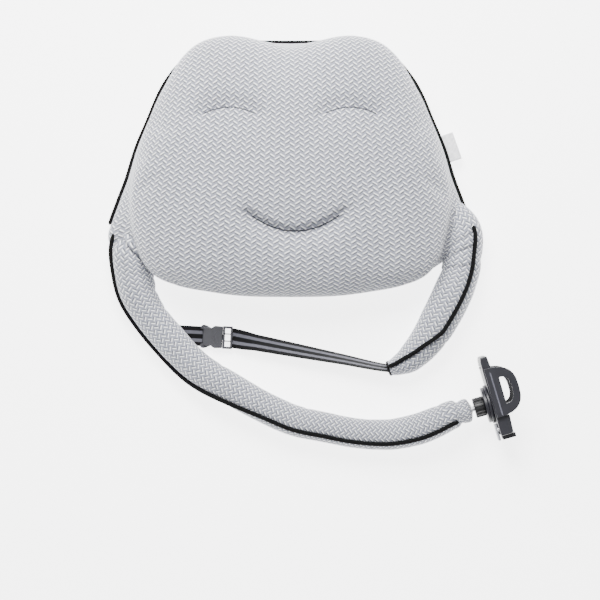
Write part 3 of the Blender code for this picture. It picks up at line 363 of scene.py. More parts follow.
black_cord = ribbed_cloth("twisted_polyester_piping", "#030304", 1.6 * MM, math.radians(35), 0.3 * MM,
                          gloss=0.15)
dark_thread = ribbed_cloth("polyester_quilting_thread", "#34363d", 1.2 * MM, math.radians(30), 0.2 * MM)
satin_label = ribbed_cloth("woven_satin_label", "#f2f2f4", 0.8 * MM, 0, 0.05 * MM, 0.55)
zip_tape = ribbed_cloth("polyester_zip_tape", "#8f929b", 0.9 * MM, 0, 0.15 * MM)
webbing = ribbed_cloth("striped_nylon_webbing", "#040405", 1.3 * MM, 0, 0.3 * MM, gloss=0.2)

WEBBING_WIDTH = 25 * MM
STRIPES = (0.31, 0.71)       # the middle of each grey stripe, as shares of the width
STRIPE_EDGE, STRIPE_CORE = 2.4 * MM, 1.8 * MM
tree = webbing.node_tree
base = tree.nodes["Principled BSDF"].inputs["Base Color"]
ground = base.links[0].from_socket
webbing_uv = add_node(tree, "ShaderNodeUVMap", uv_map="cloth").outputs[0]
across = add_node(tree, "ShaderNodeSeparateXYZ", {0: webbing_uv}).outputs[0]
for stripe in STRIPES:
    off = add_node(tree, "ShaderNodeMath", {0: across, 1: stripe * WEBBING_WIDTH},
                   operation="SUBTRACT").outputs[0]
    away = add_node(tree, "ShaderNodeMath", {0: off}, operation="ABSOLUTE").outputs[0]
    mask = add_node(tree, "ShaderNodeMapRange", {
        "Value": away, "From Min": STRIPE_EDGE, "From Max": STRIPE_CORE}).outputs[0]
    ground = add_node(tree, "ShaderNodeMix", {0: mask, 6: ground, 7: colour("#5e5e66")},
                      data_type="RGBA").outputs[2]
tree.links.new(ground, base)
print("webbing", round(WEBBING_WIDTH / MM), "mm wide with", len(STRIPES), "stripes")

# %% [markdown]
# ## Moulded plastic, rubber and metal
# The clamp is glass-filled nylon and the buckle is acetal, both moulded with a fine spark-eroded grain.
# Noise on the roughness breaks up the highlight, as handling does, and a bump gives the grain.


# %% Hard materials
def moulded(name, base, roughness, grain, depth, **values):
    """grain is the size of the surface's grain in metres."""
    made, tree, shader = new_material(name, base, roughness, **values)
    place = add_node(tree, "ShaderNodeTexCoord").outputs["Object"]
    fine = add_node(tree, "ShaderNodeTexNoise", {
        "Vector": place, "Scale": 1 / grain, "Detail": 2}).outputs["Fac"]
    bump = add_node(tree, "ShaderNodeBump", {"Height": fine, "Distance": depth, "Strength": 0.5}).outputs[0]
    tree.links.new(bump, shader.inputs["Normal"])
    worn = add_node(tree, "ShaderNodeTexNoise", {"Vector": place, "Scale": 45, "Detail": 4}).outputs["Fac"]
    rough = add_node(tree, "ShaderNodeMath", {0: worn, 1: 0.24, 2: roughness - 0.12},
                     operation="MULTIPLY_ADD").outputs[0]
    tree.links.new(rough, shader.inputs["Roughness"])
    tone = add_node(tree, "ShaderNodeMath", {0: worn, 1: 0.5, 2: 0.75}, operation="MULTIPLY_ADD").outputs[0]
    shade = add_node(tree, "ShaderNodeVectorMath", {0: colour(base)[:3], "Scale": tone},
                     operation="SCALE").outputs[0]
    tree.links.new(shade, shader.inputs["Base Color"])
    return made


clamp_plastic = moulded("glass_filled_nylon", "#1b1b23", 0.42, 0.6 * MM, 0.05 * MM)
nut_plastic = moulded("moulded_black_nylon", "#0e0e11", 0.45, 0.6 * MM, 0.05 * MM)
buckle_plastic = moulded("moulded_acetal", "#333338", 0.48, 0.7 * MM, 0.06 * MM)
pale_plastic = moulded("grey_abs", "#a4a6ad", 0.45, 0.6 * MM, 0.04 * MM)
jaw_rubber = moulded("silicone_rubber", "#17171a", 0.7, 0.8 * MM, 0.08 * MM)
steel = moulded("nickel_plated_steel", "#b9b9bd", 0.32, 0.4 * MM, 0.02 * MM, Metallic=1.0)
tooth_plastic = moulded("moulded_zip_teeth", "#7d8089", 0.45, 0.5 * MM, 0.1 * MM)
# The ribs' pale grey is a painted highlight: the light caught along each jaw's root.
ridge_painted_highlight = moulded("nylon_ridge_painted_highlight", "#5c5c66", 0.25, 0.6 * MM, 0.02 * MM)
print("materials made", len(bpy.data.materials))

# %% [markdown]
# ## The cushion's outlines
# Two outlines make the cushion: the sewn seam near the back, which flares into the shoulders, and the
# bulge in front, with two lobes at the top. Both are a radius by angle from the middle.

# %% Outlines
CUSHION_WIDTH, CUSHION_HEIGHT = 0.400, 0.328
CUSHION_THICKNESS = 0.1134
BELLY_HEIGHT, SEAM_HEIGHT = 0.054, 0.018
SEAM_OUTLINE = [
    (0, 0.985), (0.225, 0.985), (0.45, 0.97), (0.64, 0.872), (0.76, 0.713), (0.88, 0.409), (0.96, 0.177),
    (1.015, -0.037), (1.07, -0.213), (1.12, -0.378), (1.145, -0.488), (1.11, -0.585), (0.98, -0.671),
    (0.85, -0.768), (0.70, -0.841), (0.4375, -0.902), (0, -0.927)]
BULGE_OUTLINE = [
    (0, 0.957), (0.155, 0.991), (0.375, 1.040), (0.56, 0.991), (0.675, 0.877), (0.775, 0.677),
    (0.87, 0.421), (0.945, 0.183), (0.9875, -0.046), (1.0, -0.244), (0.98, -0.482), (0.9375, -0.665),
    (0.8625, -0.793), (0.72, -0.869), (0.4375, -0.930), (0, -0.960)]
FULL_TURN = 2 * math.pi
MEAN_RADIUS = 0.18


def outline_radius(shares):
    points = [(x * CUSHION_WIDTH / 2, y * CUSHION_HEIGHT / 2) for x, y in shares]
    keys = [(math.atan2(x, y), math.hypot(x, y)) for x, y in points]
    around = [(-a, r) for a, r in keys[2:0:-1]] + keys + [(FULL_TURN - a, r) for a, r in keys[-2:-4:-1]]
    places, values = np.array([a for a, _ in around]), np.array([r for _, r in around])
    return lambda angle: float(smooth_through(places, values, abs(math.remainder(angle, FULL_TURN))))


seam_radius, fitted_bulge = outline_radius(SEAM_OUTLINE), outline_radius(BULGE_OUTLINE)
BULGE_SHARE = 0.992          # the knit is drawn a little tighter than the solid it covers
print("bulge", round(BULGE_SHARE * fitted_bulge(0), 4), "m from the middle to its top")


def bulge_radius(angle):
    return BULGE_SHARE * fitted_bulge(angle)


# %% From a square sheet to the cushion
def disc_spot(u, v):
    """A square sheet's point as (share of the way out, angle from +Y), in rings with no pole."""
    a, b = 2 * u - 1, 2 * v - 1
    if abs(a) < 1e-9 and abs(b) < 1e-9:
        return 0.0, 0.0
    if abs(a) > abs(b):
        r, turn = a, math.pi / 4 * b / a
    else:
        r, turn = b, math.pi / 2 - math.pi / 4 * a / b
    return abs(r), math.atan2(r * math.cos(turn), r * math.sin(turn))


def by_arc(rows):
    """Rows of (share of the bulge, size, level) as functions of the share of their own length."""
    rows = np.array(rows, dtype=float)
    steps = np.hypot(np.diff(rows[:, 1]) * MEAN_RADIUS, np.diff(rows[:, 2]))
    share = np.r_[0, np.cumsum(steps)]
    share, length = share / share[-1], share[-1]
    return (lambda t: [float(np.interp(t, share, c)) for c in rows.T]), length


FULLNESS = 2.6
crown = [(1.0, math.cos(t) ** (2 / FULLNESS),
          BELLY_HEIGHT + (CUSHION_THICKNESS - BELLY_HEIGHT) * math.sin(t) ** (2 / FULLNESS))
         for t in np.linspace(math.pi / 2 - 1e-6, 0, 60)]
flank = [(m, 1.0, z) for m, z in zip(
    [ease(0, 1, k / 14) for k in range(13, -1, -1)], np.linspace(BELLY_HEIGHT, SEAM_HEIGHT + 0.0004, 15)[1:])]
front_profile, front_arc = by_arc(crown + flank)
back_profile, back_arc = by_arc([(0, 0, 0.0004), (0, 0.93, 0.0004), (0, 0.955, 0.0012), (0, 0.975, 0.0040),
                                 (0, 0.990, 0.0090), (0, 1.0, SEAM_HEIGHT - 0.0004)])
print("front profile", round(front_arc, 4), "m, back profile", round(back_arc, 4), "m")

# %% [markdown]
# ## Quilted lines
# Two closed eyes and a smile are sewn through the filling. Outside each arc the knit slopes down to the
# line over about 13 mm, and inside it a puff rises steeply from the thread. How deep the knit lies is found
# from the signed distance to the arc.

# %% Quilting
QUILTING = {                 # middle across, middle up, half length, arch, depth
    "left_eye": (-0.075, 0.069, 0.032, 0.008, 10 * MM),
    "right_eye": (0.075, 0.069, 0.032, 0.008, 10 * MM),
    "mouth": (0.0065, -0.055, 0.055, -0.020, 14 * MM),
}
OUTSIDE_REACH, INSIDE_REACH, PAST_REACH = 13.0 * MM, 3.8 * MM, 10 * MM
CREASE_DEPTH, CREASE_REACH, CREASE_PAST = 2.6 * MM, 1.5 * MM, 2 * MM


def line_distance(x, y, line):
    """Distance to the arc's outside (+) or inside (-), and how far past its ends."""
    across, up, half, arch, _ = line
    t = min(max((x - across) / half, -1.15), 1.15)
    slope = -2 * arch * t / half
    off = (y - up - arch * (1 - t * t)) / math.hypot(1, slope)
    return math.copysign(1, arch) * off, max(abs(x - across) - half, 0)


def quilt_depth(x, y):
    depth = 0
    for line in QUILTING.values():
        off, past = line_distance(x, y, line)
        reach = OUTSIDE_REACH if off > 0 else INSIDE_REACH
        depth = max(depth, line[4] * math.exp(-(off / reach) ** 2 - (past / PAST_REACH) ** 2))
    return depth


def crease_depth(x, y):
    """The sharp fold at the thread itself."""
    fold = 0
    for line in QUILTING.values():
        off, past = line_distance(x, y, line)
        fold = max(fold, CREASE_DEPTH * math.exp(-(off / CREASE_REACH) ** 2 - (past / CREASE_PAST) ** 2))
    return fold


def cover_point(profile, sculpt=True):
    def place(u, v):
        share, angle = disc_spot(u, v)
        mix, size, level = profile(share)
        r = size * ((1 - mix) * seam_radius(angle) + mix * bulge_radius(angle))
        x, y = r * math.sin(angle), r * math.cos(angle)
        return Vector((x, y, level - (quilt_depth(x, y) if sculpt else 0)))
    return place


KNIT_STRETCH = 0.19          # how much wider the knit's columns are drawn out at the bottom edge


def cover_cloth(arc):
    def at(u, v):
        share, angle = disc_spot(u, v)
        out = share * arc * bulge_radius(angle) / MEAN_RADIUS
        x, y = out * math.sin(angle), out * math.cos(angle)
        return x * (1 - KNIT_STRETCH * ease(0.12, -0.12, y)), y
    return at


print("quilted lines", ", ".join(QUILTING))


# %% [markdown]
# ## Swelling the front with a cloth simulation
# The knit is a membrane that the filling pushes out and the threads hold in. Cloth with pressure and no
# gravity does exactly that: the rim and the sewn lines are pinned, the rest swells, and a cap on how far
# a point may move keeps the cushion's size.


# %% Swelling
def swell(obj, pinned, pressure=4.0, frames=20, cap=6 * MM):
    group = obj.vertex_groups.new(name="sewn")
    group.add(pinned, 1.0, "REPLACE")
    cloth = obj.modifiers.new("cloth", "CLOTH")
    settings = cloth.settings
    settings.quality = 6
    settings.tension_stiffness = settings.compression_stiffness = 15
    settings.shear_stiffness, settings.bending_stiffness = 5, 0.5
    settings.vertex_group_mass = "sewn"
    settings.use_pressure, settings.uniform_pressure_force = True, pressure
    settings.effector_weights.gravity = 0
    cloth.point_cache.frame_start, cloth.point_cache.frame_end = 1, frames
    for frame_number in range(1, frames + 1):
        scene.frame_set(frame_number)
    swollen = obj.evaluated_get(bpy.context.evaluated_depsgraph_get()).data
    furthest = 0.0
    for v, moved in zip(obj.data.vertices, swollen.vertices):
        step = moved.co - v.co
        furthest = max(furthest, step.length)
        limit = 1 * MM + (cap - 1 * MM) * ease(BELLY_HEIGHT, BELLY_HEIGHT + 30 * MM, v.co.z)
        if step.length > limit:
            step *= limit / step.length
        v.co += step
    obj.modifiers.remove(cloth)
    obj.vertex_groups.clear()
    scene.frame_set(1)
    print(obj.name, "swelled by at most", round(furthest / MM, 1), "mm before the cap")


def subdivide_once(obj):
    modifier = obj.modifiers.new("finer", "SUBSURF")
    modifier.levels = modifier.render_levels = 1
    graph = bpy.context.evaluated_depsgraph_get()
    finer = bpy.data.meshes.new_from_object(obj.evaluated_get(graph))
    obj.modifiers.remove(modifier)
    obj.data = finer


# %% Front cover
SEWN_HALF, SEWN_PAST = 2.6 * MM, 1.5 * MM
SLACK = 0.7 * MM             # how far the knit lies loose between the threads
front_grid = shaped_grid(96, 96, cover_point(front_profile), cover_cloth(front_arc))
front = new_object("front_cover_knit", front_grid, grey_knit)
held = []
for v in front.data.vertices:
    offs = [line_distance(v.co.x, v.co.y, line) for line in QUILTING.values()]
    sewn = v.co.z > BELLY_HEIGHT and any(abs(off) < SEWN_HALF and past < SEWN_PAST for off, past in offs)
    if sewn or v.co.z < SEAM_HEIGHT + 5 * MM:
        held.append(v.index)
swell(front, held)
subdivide_once(front)
for v in front.data.vertices:
    if v.co.z > BELLY_HEIGHT:
        v.co.z -= crease_depth(v.co.x, v.co.y)
        slack = noise.noise(Vector((v.co.x * 26, v.co.y * 34, 3.1)))
        v.co.z += SLACK * slack
front.data.shade_smooth()
solid_wall(front, 1.2 * MM)
graph = bpy.context.evaluated_depsgraph_get()
front_surface = BVHTree.FromObject(front, graph)
settle(front, "cushion", "grey_knit", "front_cover", "foam_core")
print("front cover", len(front.data.polygons), "faces")

# %% [markdown]
# ## Back cover with its zip opening
# The back is the same sheet laid flat. Cuts along the four sides of the zip's slot let the faces inside
# it be taken out, so that the tape and the teeth show in a recess.

# %% Back cover
ZIP_LEVEL, ZIP_HALF, ZIP_SLOT_HALF = -0.095, 0.122, 0.005
bm = shaped_grid(60, 60, cover_point(back_profile, sculpt=False), cover_cloth(back_arc))
for spot, across in (((0, ZIP_LEVEL - ZIP_SLOT_HALF, 0), (0, 1, 0)),
                     ((0, ZIP_LEVEL + ZIP_SLOT_HALF, 0), (0, 1, 0)),
                     ((-ZIP_HALF, 0, 0), (1, 0, 0)), ((ZIP_HALF, 0, 0), (1, 0, 0))):
    bmesh.ops.bisect_plane(bm, geom=bm.verts[:] + bm.edges[:] + bm.faces[:], plane_co=spot, plane_no=across)
slot_faces = []
for f in bm.faces:
    middle = f.calc_center_median()
    if abs(middle.x) < ZIP_HALF and abs(middle.y - ZIP_LEVEL) < ZIP_SLOT_HALF and middle.z < 5 * MM:
        slot_faces.append(f)
bmesh.ops.delete(bm, geom=slot_faces, context="FACES")
bmesh.ops.reverse_faces(bm, faces=bm.faces)
back = new_object("back_cover_knit", bm, back_knit)
solid_wall(back, 1.2 * MM)
settle(back, "cushion", "back_knit", "back_cover")
print("back cover", len(back.data.polygons), "faces")


# %% [markdown]
# ## Cords along a line
# Piping and thread are round cords. A joined grid makes the tube, its UV map runs round and along it,
# and its ends are drawn in to a point so that they are closed.

# %% Cords
def cord_tube(name, points, radius, material, sides=12):
    points = [Vector(p) for p in points]
    path = Route([(*p, radius, radius) for p in points], fine=1.5 * MM)
    rows = max(int(path.length / (2.5 * MM)), 8)

    def place(u, v):
        middle, side, up, wide, high = path.station(v * path.length)
        closing = math.sqrt(max(0.0, 1 - max(0.0, abs(2 * v - 1) - 1 + 2 * radius / path.length) ** 2
                                / (2 * radius / path.length) ** 2))
        turn = u * FULL_TURN
        return middle + (side * math.cos(turn) * wide + up * math.sin(turn) * high) * closing

    bm = shaped_grid(sides, rows, place, lambda u, v: (u * FULL_TURN * radius, v * path.length), join=True)
    bmesh.ops.recalc_face_normals(bm, faces=bm.faces)
    return new_object(name, bm, material, sharp=80)


PIPING_RADIUS, ARM_PIPING_RADIUS, PIPING_OUT = 2.5 * MM, 2.7 * MM, 2.2 * MM
PIPING_REACH = 0.295 * FULL_TURN
seam = []
for turn in np.linspace(-PIPING_REACH, PIPING_REACH, 90):
    r = seam_radius(turn) + PIPING_OUT
    seam.append((r * math.sin(turn), r * math.cos(turn), SEAM_HEIGHT))
body_piping = cord_tube("body_piping_cord", seam, PIPING_RADIUS, black_cord)
settle(body_piping, "cushion", "black_cord", "body_piping")

for name, line in QUILTING.items():
    across, up, half, arch, _ = line
    sewn = []
    for t in np.linspace(-1, 1, 41):
        x, y = across + half * t, up + arch * (1 - t * t)
        hit = front_surface.ray_cast(Vector((x, y, 0.3)), Vector((0, 0, -1)))[0]
        sewn.append((hit.x, hit.y, hit.z + 0.1 * MM))
    thread = cord_tube(f"{name}_thread", sewn, 0.9 * MM, dark_thread, sides=8)
    settle(thread, "cushion", "stitch_thread", f"{name}_stitch")

# %% [markdown]
# ## Padded arms
# Each arm is a knitted tube. The long one has three places where the tube inside bends, so it is cut
# half way between them. Folds are pressed in near the shoulder and the bends, a groove runs under the
# piping, and the free end is gathered on the ball joint's neck.

# %% Arm routes
LEFT_SHOULDER = (-0.195, -0.573 * CUSHION_HEIGHT / 2)
RIGHT_SHOULDER = (0.215, -0.4024 * CUSHION_HEIGHT / 2)
LONG_ARM = [
    (0.008, 0.020, 0.0260, 0.0260), (0, 0, 0.0280, 0.0280), (-0.001, -0.025, 0.0255, 0.0255),
    (0.004, -0.055, 0.0235, 0.0235), (0.015, -0.0785, 0.0215, 0.0213), (0.040, -0.111, 0.0210, 0.0208),
    (0.0775, -0.150, 0.0204, 0.0202), (0.120, -0.177, 0.0204, 0.0202), (0.158, -0.1985, 0.0198, 0.0196),
    (0.199, -0.217, 0.0197, 0.0195), (0.239, -0.226, 0.0193, 0.0190), (0.279, -0.2335, 0.0192, 0.0188),
    (0.320, -0.235, 0.0205, 0.0194), (0.354, -0.2285, 0.0245, 0.0199), (0.375, -0.2205, 0.0292, 0.0194)]
SHORT_ARM = [
    (-0.037, 0.046, 0.0210, 0.0210), (0, 0, 0.0250, 0.0250), (0.001, -0.039, 0.0250, 0.0250),
    (-0.0025, -0.063, 0.0245, 0.0245), (-0.0125, -0.089, 0.0248, 0.0248), (-0.029, -0.1215, 0.0240, 0.0240),
    (-0.046, -0.148, 0.0210, 0.0220), (-0.065, -0.168, 0.0175, 0.0195), (-0.080, -0.1765, 0.0125, 0.0175),
    (-0.090, -0.180, 0.0090, 0.0165)]
ARM_END = [(-0.037, 0.0180), (-0.030, 0.0170), (-0.0265, 0.0132), (-0.0225, 0.0146), (-0.0165, 0.0152),
           (-0.0124, 0.0132), (-0.0110, 0.0085)]
TIP_ANGLE = math.radians(16)
BALL = Vector((LEFT_SHOULDER[0] + 0.432, LEFT_SHOULDER[1] - 0.200, 0.0345))
OUT = Vector((math.cos(TIP_ANGLE), math.sin(TIP_ANGLE), 0))
UP = Vector((0, 0, 1))
DOWN_HOLDER = OUT.cross(UP)
long_route = Route([(LEFT_SHOULDER[0] + x, LEFT_SHOULDER[1] + y, z, r, r) for x, y, z, r in LONG_ARM]
                   + [(*(BALL + OUT * back), r, r) for back, r in ARM_END])
short_route = Route([(RIGHT_SHOULDER[0] + x, RIGHT_SHOULDER[1] + y, high + 0.0002, wide, high)
                     for x, y, wide, high in SHORT_ARM])
BENDS = (0.225, 0.354, 0.462)
print("long arm", round(long_route.length, 4), "m, short arm", round(short_route.length, 4), "m")


# %% Folds and creases
def long_tilt(s):
    return math.radians(58) * ease(0.16, 0.32, s)


def short_tilt(s):
    return math.radians(float(np.interp(s, [0, 0.15, 0.195, 0.222, 0.250], [56, 62, 66, 90, 106])))


def lip(s, turn, edges):
    """Creases where the knit rolls over itself: a sharp drop past each edge, which then fills again."""
    depth = 0.0
    for at, where, deep, reach, slant in edges:
        off = s - at - slant * math.sin(turn - where)
        if off > 0:
            near = max(math.cos(turn - where), 0) ** 0.5
            depth += near * deep * ease(0, 1.6 * MM, off) * math.exp(-off / reach)
    return depth


def fold(s, turn, places):
    """Soft folds that ring the arm: places are (distance, angle, depth, width, slant)."""
    depth = 0.0
    for at, where, deep, wide, slant in places:
        near = math.cos((turn - where) / 2) ** 4
        off = s - at - slant * math.sin(turn - where)
        depth += deep * near * math.exp(-(off / wide) ** 2)
    return depth


def gathers(s, turn, length):
    """Pleats that fan out from the neck where the sleeve's end is drawn in."""
    close = ease(length - 0.014, length, s)
    return close * 0.9 * MM * (0.5 + 0.5 * math.cos(15 * turn + 0.6 * math.sin(3 * turn)))


# %% A sleeve
KNIT_COLUMNS_ROUND = 28      # an even number, so that the zigzag closes round the arm
SEAM_GROOVE, SEAM_GROOVE_WIDTH = 0.9 * MM, 2.6 * MM
RIPPLE = 0.45 * MM


def root_size(s, root):
    return root[1] + (1 - root[1]) * ease(0, root[0], s)


def sleeve_grid(route, start, end, tilt, outward, folds, lips, root=(30 * MM, 0.62), gathered=False):
    """root: over how much of its length the arm grows out of the shoulder, and its size there."""
    def place(u, v):
        s = start + (end - start) * v
        middle, side, up, wide, high = route.station(s)
        turn = u * FULL_TURN - math.pi / 2
        edge = tilt(s) if outward > 0 else math.pi - tilt(s)
        off = math.remainder(turn - edge, FULL_TURN) * wide
        inward = (SEAM_GROOVE * math.exp(-(off / SEAM_GROOVE_WIDTH) ** 2) + fold(s, turn, folds)
                  + lip(s, turn, lips))
        if gathered:
            inward += gathers(s, turn, route.length)
        ripple = RIPPLE * noise.noise(Vector((s * 55, math.cos(turn) * 1.4, math.sin(turn) * 1.4)))
        inward = max(inward - ripple, 0)
        grow = 1.0 if start > 0 else root_size(s, root)
        return (middle + side * (wide - inward) * math.cos(turn) * grow
                + up * (high - inward) * math.sin(turn) * grow)

    around = KNIT_COLUMNS_ROUND * KNIT_COLUMN
    return shaped_grid(72, max(int((end - start) / (1.5 * MM)), 10), place,
                       lambda u, v: (u * around, start + (end - start) * v), join=True)


# %% Where the arms fold
INNER, TOP = math.pi, math.pi / 2
LONG_FOLDS = [
    (0.060, TOP + 0.8, 1.4 * MM, 4 * MM, 7 * MM),
    (0.084, INNER, 1.6 * MM, 5 * MM, 6 * MM), (0.116, INNER, 1.2 * MM, 4 * MM, -4 * MM),
    (0.226, INNER, 0.9 * MM, 4 * MM, 3 * MM), (0.352, INNER, 0.8 * MM, 4 * MM, 3 * MM),
    (0.440, TOP, 1.0 * MM, 5 * MM, -6 * MM), (0.492, TOP, 1.3 * MM, 4 * MM, 5 * MM),
    (0.532, INNER, 1.2 * MM, 4 * MM, 5 * MM)]
SHORT_FOLDS = [
    (0.102, INNER, 1.5 * MM, 5 * MM, 5 * MM), (0.205, INNER, 0.9 * MM, 4 * MM, 4 * MM),
    (0.236, TOP, 0.8 * MM, 4 * MM, 4 * MM)]
LONG_LIPS = [(0.024, TOP, 10.0 * MM, 13 * MM, 12 * MM)]
SHORT_ROOT = (85 * MM, 0.42)
SHORT_LIPS = [(0.083, TOP - 0.6, 4.5 * MM, 5 * MM, -16 * MM), (0.091, TOP - 0.2, 5.0 * MM, 6 * MM, -12 * MM),
              (0.113, TOP - 0.6, 3.5 * MM, 7 * MM, -7 * MM)]
BLEND_HALF = 0.030
cuts = [0.0] + [(a + b) / 2 for a, b in zip(BENDS, BENDS[1:])] + [long_route.length]


def ends_of(bend):
    return long_route.point(bend - BLEND_HALF), long_route.point(bend + BLEND_HALF)


def dressed(first):
    """The CAD nodes that a stretch of the long arm stands for."""
    k = first + 1
    names = [f"long_arm_sleeve_{k}", f"long_arm_filling_{k}", f"long_arm_bend_{k}", f"gooseneck_{k}"]
    if k == 1:
        names.append("gooseneck_anchor")
    if k == len(BENDS):
        names += [f"long_arm_sleeve_{k + 1}", f"long_arm_filling_{k + 1}", f"gooseneck_{k + 1}"]
        names.append("end_ferrule")
    return names


# %% Both sleeves
for k, bend in enumerate(BENDS):
    last = k == len(BENDS) - 1
    bm = sleeve_grid(long_route, cuts[k], cuts[k + 1], long_tilt, 1, LONG_FOLDS, LONG_LIPS, gathered=last)
    bmesh.ops.recalc_face_normals(bm, faces=bm.faces)
    sleeve = new_object(f"long_arm_knit_{k + 1}", bm, grey_knit, sharp=70)
    solid_wall(sleeve, 1.0 * MM)
    settle(sleeve, None, "grey_knit", *dressed(k))
    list(ends_of(bend))
    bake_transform(sleeve)

bm = sleeve_grid(short_route, 0, short_route.length, short_tilt, -1, SHORT_FOLDS, SHORT_LIPS, SHORT_ROOT)
bmesh.ops.recalc_face_normals(bm, faces=bm.faces)
short_sleeve = new_object("short_arm_knit", bm, grey_knit, sharp=70)
solid_wall(short_sleeve, 1.0 * MM)
settle(short_sleeve, "cushion", "grey_knit", "short_arm_sleeve", "short_arm_filling")
print("long arm in", len(BENDS), "stretches, short arm in one")


# %% Piping on the arms
CORD_OUT, CORD_OVERLAP = 1.7 * MM, 2.5 * MM
LONG_CORD_START, LONG_CORD_STOP = 0.014, 0.019    # from the shoulder, and short of the arm's end
SHORT_CORD_START = 0.064


def arm_line(route, start, end, tilt, outward, root=(1 * MM, 1.0)):
    line = []
    for s in np.linspace(start, end, max(int((end - start) / 0.006), 6)):
        middle, side, up, wide, high = route.station(s)
        turn, grow = tilt(s), root_size(s, root)
        wide, high = wide * grow, high * grow
        line.append(middle + side * outward * (wide + CORD_OUT) * math.cos(turn)
                    + up * (high + CORD_OUT) * math.sin(turn))
    return line


for k, bend in enumerate(BENDS):
    last = k == len(BENDS) - 1
    start = LONG_CORD_START if k == 0 else cuts[k] - CORD_OVERLAP
    end = long_route.length - LONG_CORD_STOP if last else cuts[k + 1] + CORD_OVERLAP
    piping = cord_tube(f"long_arm_cord_{k + 1}", arm_line(long_route, start, end, long_tilt, 1),
                       ARM_PIPING_RADIUS, black_cord)
    names = [f"long_arm_piping_{k + 1}"] + (["long_arm_piping_4"] if last else [])
    settle(piping, None, "black_cord", *names)
    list(ends_of(bend))
    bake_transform(piping)
short_line = arm_line(short_route, SHORT_CORD_START, short_route.length, short_tilt, -1, SHORT_ROOT)
piping = cord_tube("short_arm_cord", short_line, ARM_PIPING_RADIUS, black_cord)
settle(piping, "cushion", "black_cord", "short_arm_piping")
print("piping on the arms", len(BENDS) + 1, "cords")


# %% Cuff binding
def cuff_place(u, v):
    middle, side, up, wide, high = short_route.station(short_route.length)
    along = up.cross(side).normalized()
    turn, small = v * FULL_TURN, u * FULL_TURN
    rim = side * (wide - 0.3 * MM) * math.cos(turn) + up * (high - 0.9 * MM) * math.sin(turn)
    return middle + rim + rim.normalized() * math.cos(small) * 1.1 * MM + along * math.sin(small) * 1.9 * MM


bm = shaped_grid(10, 48, cuff_place, lambda u, v: (u * 8 * MM, v * 90 * MM), join=True)
bmesh.ops.recalc_face_normals(bm, faces=bm.faces)
settle(new_object("cuff_binding", bm, black_cord, sharp=80), "cushion", "black_cord")

# %% [markdown]
# ## The waist strap
# Two pieces of 25 mm webbing meet in the buckle. The long one leaves the buckle flat and turns on edge
# where it runs into the short arm's cuff.

# %% Webbing
BUCKLE_ANGLE = math.radians(-3)
BUCKLE_LEVEL = 6 * MM
ALONG_BUCKLE = Vector((math.cos(BUCKLE_ANGLE), math.sin(BUCKLE_ANGLE), 0))
MOUTH = Vector((-0.08529, -0.20710, BUCKLE_LEVEL))
WEBBING_WALL = 1.4 * MM
TWIST = [(0, 0, BUCKLE_LEVEL), (0.15, 36, 0.0086), (0.4, 47, 0.0104), (0.7, 60, 0.0127), (1, 70, 0.0167)]


def webbing_grid(path, turn_at, first=None, rows=90):
    """A flat band as a closed tube of four sides, its UV map across and along the band."""
    corners = [(-1, -1), (1, -1), (1, 1), (-1, 1)]

    def place(u, v):
        s = v * path.length
        along = first if first is not None and v < 1e-6 else path.direction(s)
        flat = along.cross(UP).normalized()
        tilt = turn_at(s)
        wide = flat * math.cos(tilt) + UP * math.sin(tilt)
        thick = along.cross(wide).normalized()
        side, share = divmod(u * 4 + 1e-9, 1)
        a, b = corners[int(side) % 4], corners[(int(side) + 1) % 4]
        x, z = a[0] + (b[0] - a[0]) * share, a[1] + (b[1] - a[1]) * share
        edge = 1 - 0.35 * max(0.0, abs(x) - 0.85) / 0.15
        return path.point(s) + wide * x * WEBBING_WIDTH / 2 + thick * z * edge * WEBBING_WALL / 2

    def cloth_at(u, v):
        side = u * 4
        if side <= 1:
            x = side
        elif side <= 2:
            x = 1
        elif side <= 3:
            x = 3 - side
        else:
            x = 0
        return x * WEBBING_WIDTH, v * path.length

    bm = shaped_grid(48, rows, place, cloth_at, join=True)
    ends = [e for e in bm.edges if e.is_boundary]
    bmesh.ops.holes_fill(bm, edges=ends, sides=0)
    bmesh.ops.recalc_face_normals(bm, faces=bm.faces)
    return bm


start = MOUTH + ALONG_BUCKLE * 10.6 * MM
cuff = short_route.point(short_route.length)
keys = [start.lerp(cuff, share) for share, _, _ in TWIST]
for key, (_, _, level) in zip(keys, TWIST):
    key.z = level
keys[-1].z = cuff.z
inside_cuff = short_route.point(short_route.length - 10 * MM)
strap_path = Route([(*key, 0, 0) for key in keys + [inside_cuff]])
strap_free = strap_path.length - (inside_cuff - cuff).length
strap_turn = [[row[0] * strap_free for row in TWIST], [math.radians(row[1]) for row in TWIST]]
strap = new_object("waist_strap_webbing", webbing_grid(
    strap_path, lambda s: float(np.interp(s, *strap_turn)), ALONG_BUCKLE), webbing, sharp=40)
settle(strap, None, "black_cord", "strap_long")
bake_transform(strap)
print("free strap", round(strap_free, 4), "m")

FEMALE_REAR = MOUTH - ALONG_BUCKLE * 25.5 * MM
short_from = MOUTH - ALONG_BUCKLE * 62 * MM
short_path = Route([(*short_from, 0, 0), (*short_from.lerp(FEMALE_REAR, 0.5), 0, 0), (*FEMALE_REAR, 0, 0)])
short_grid = webbing_grid(short_path, lambda s: 0.0, rows=24)
short_strap = new_object("buckle_side_webbing", short_grid, webbing, sharp=40)
settle(short_strap, "cushion", "black_cord", "strap_short")

# %% [markdown]
# ## Refining a moulded part
# A moulding has no sharp edge, because the mould is cut with a rounded tool. A CAD solid is merged, its
# flat triangles are dissolved into whole faces, and its edges are bevelled.


# %% Moulded parts from their solids
def flat_faces(obj):
    """Keeps a moulding's big faces flat, so that only its rounded edges catch the light."""
    normals = obj.modifiers.new("flat_faces", "WEIGHTED_NORMAL")
    normals.keep_sharp = True
    return obj


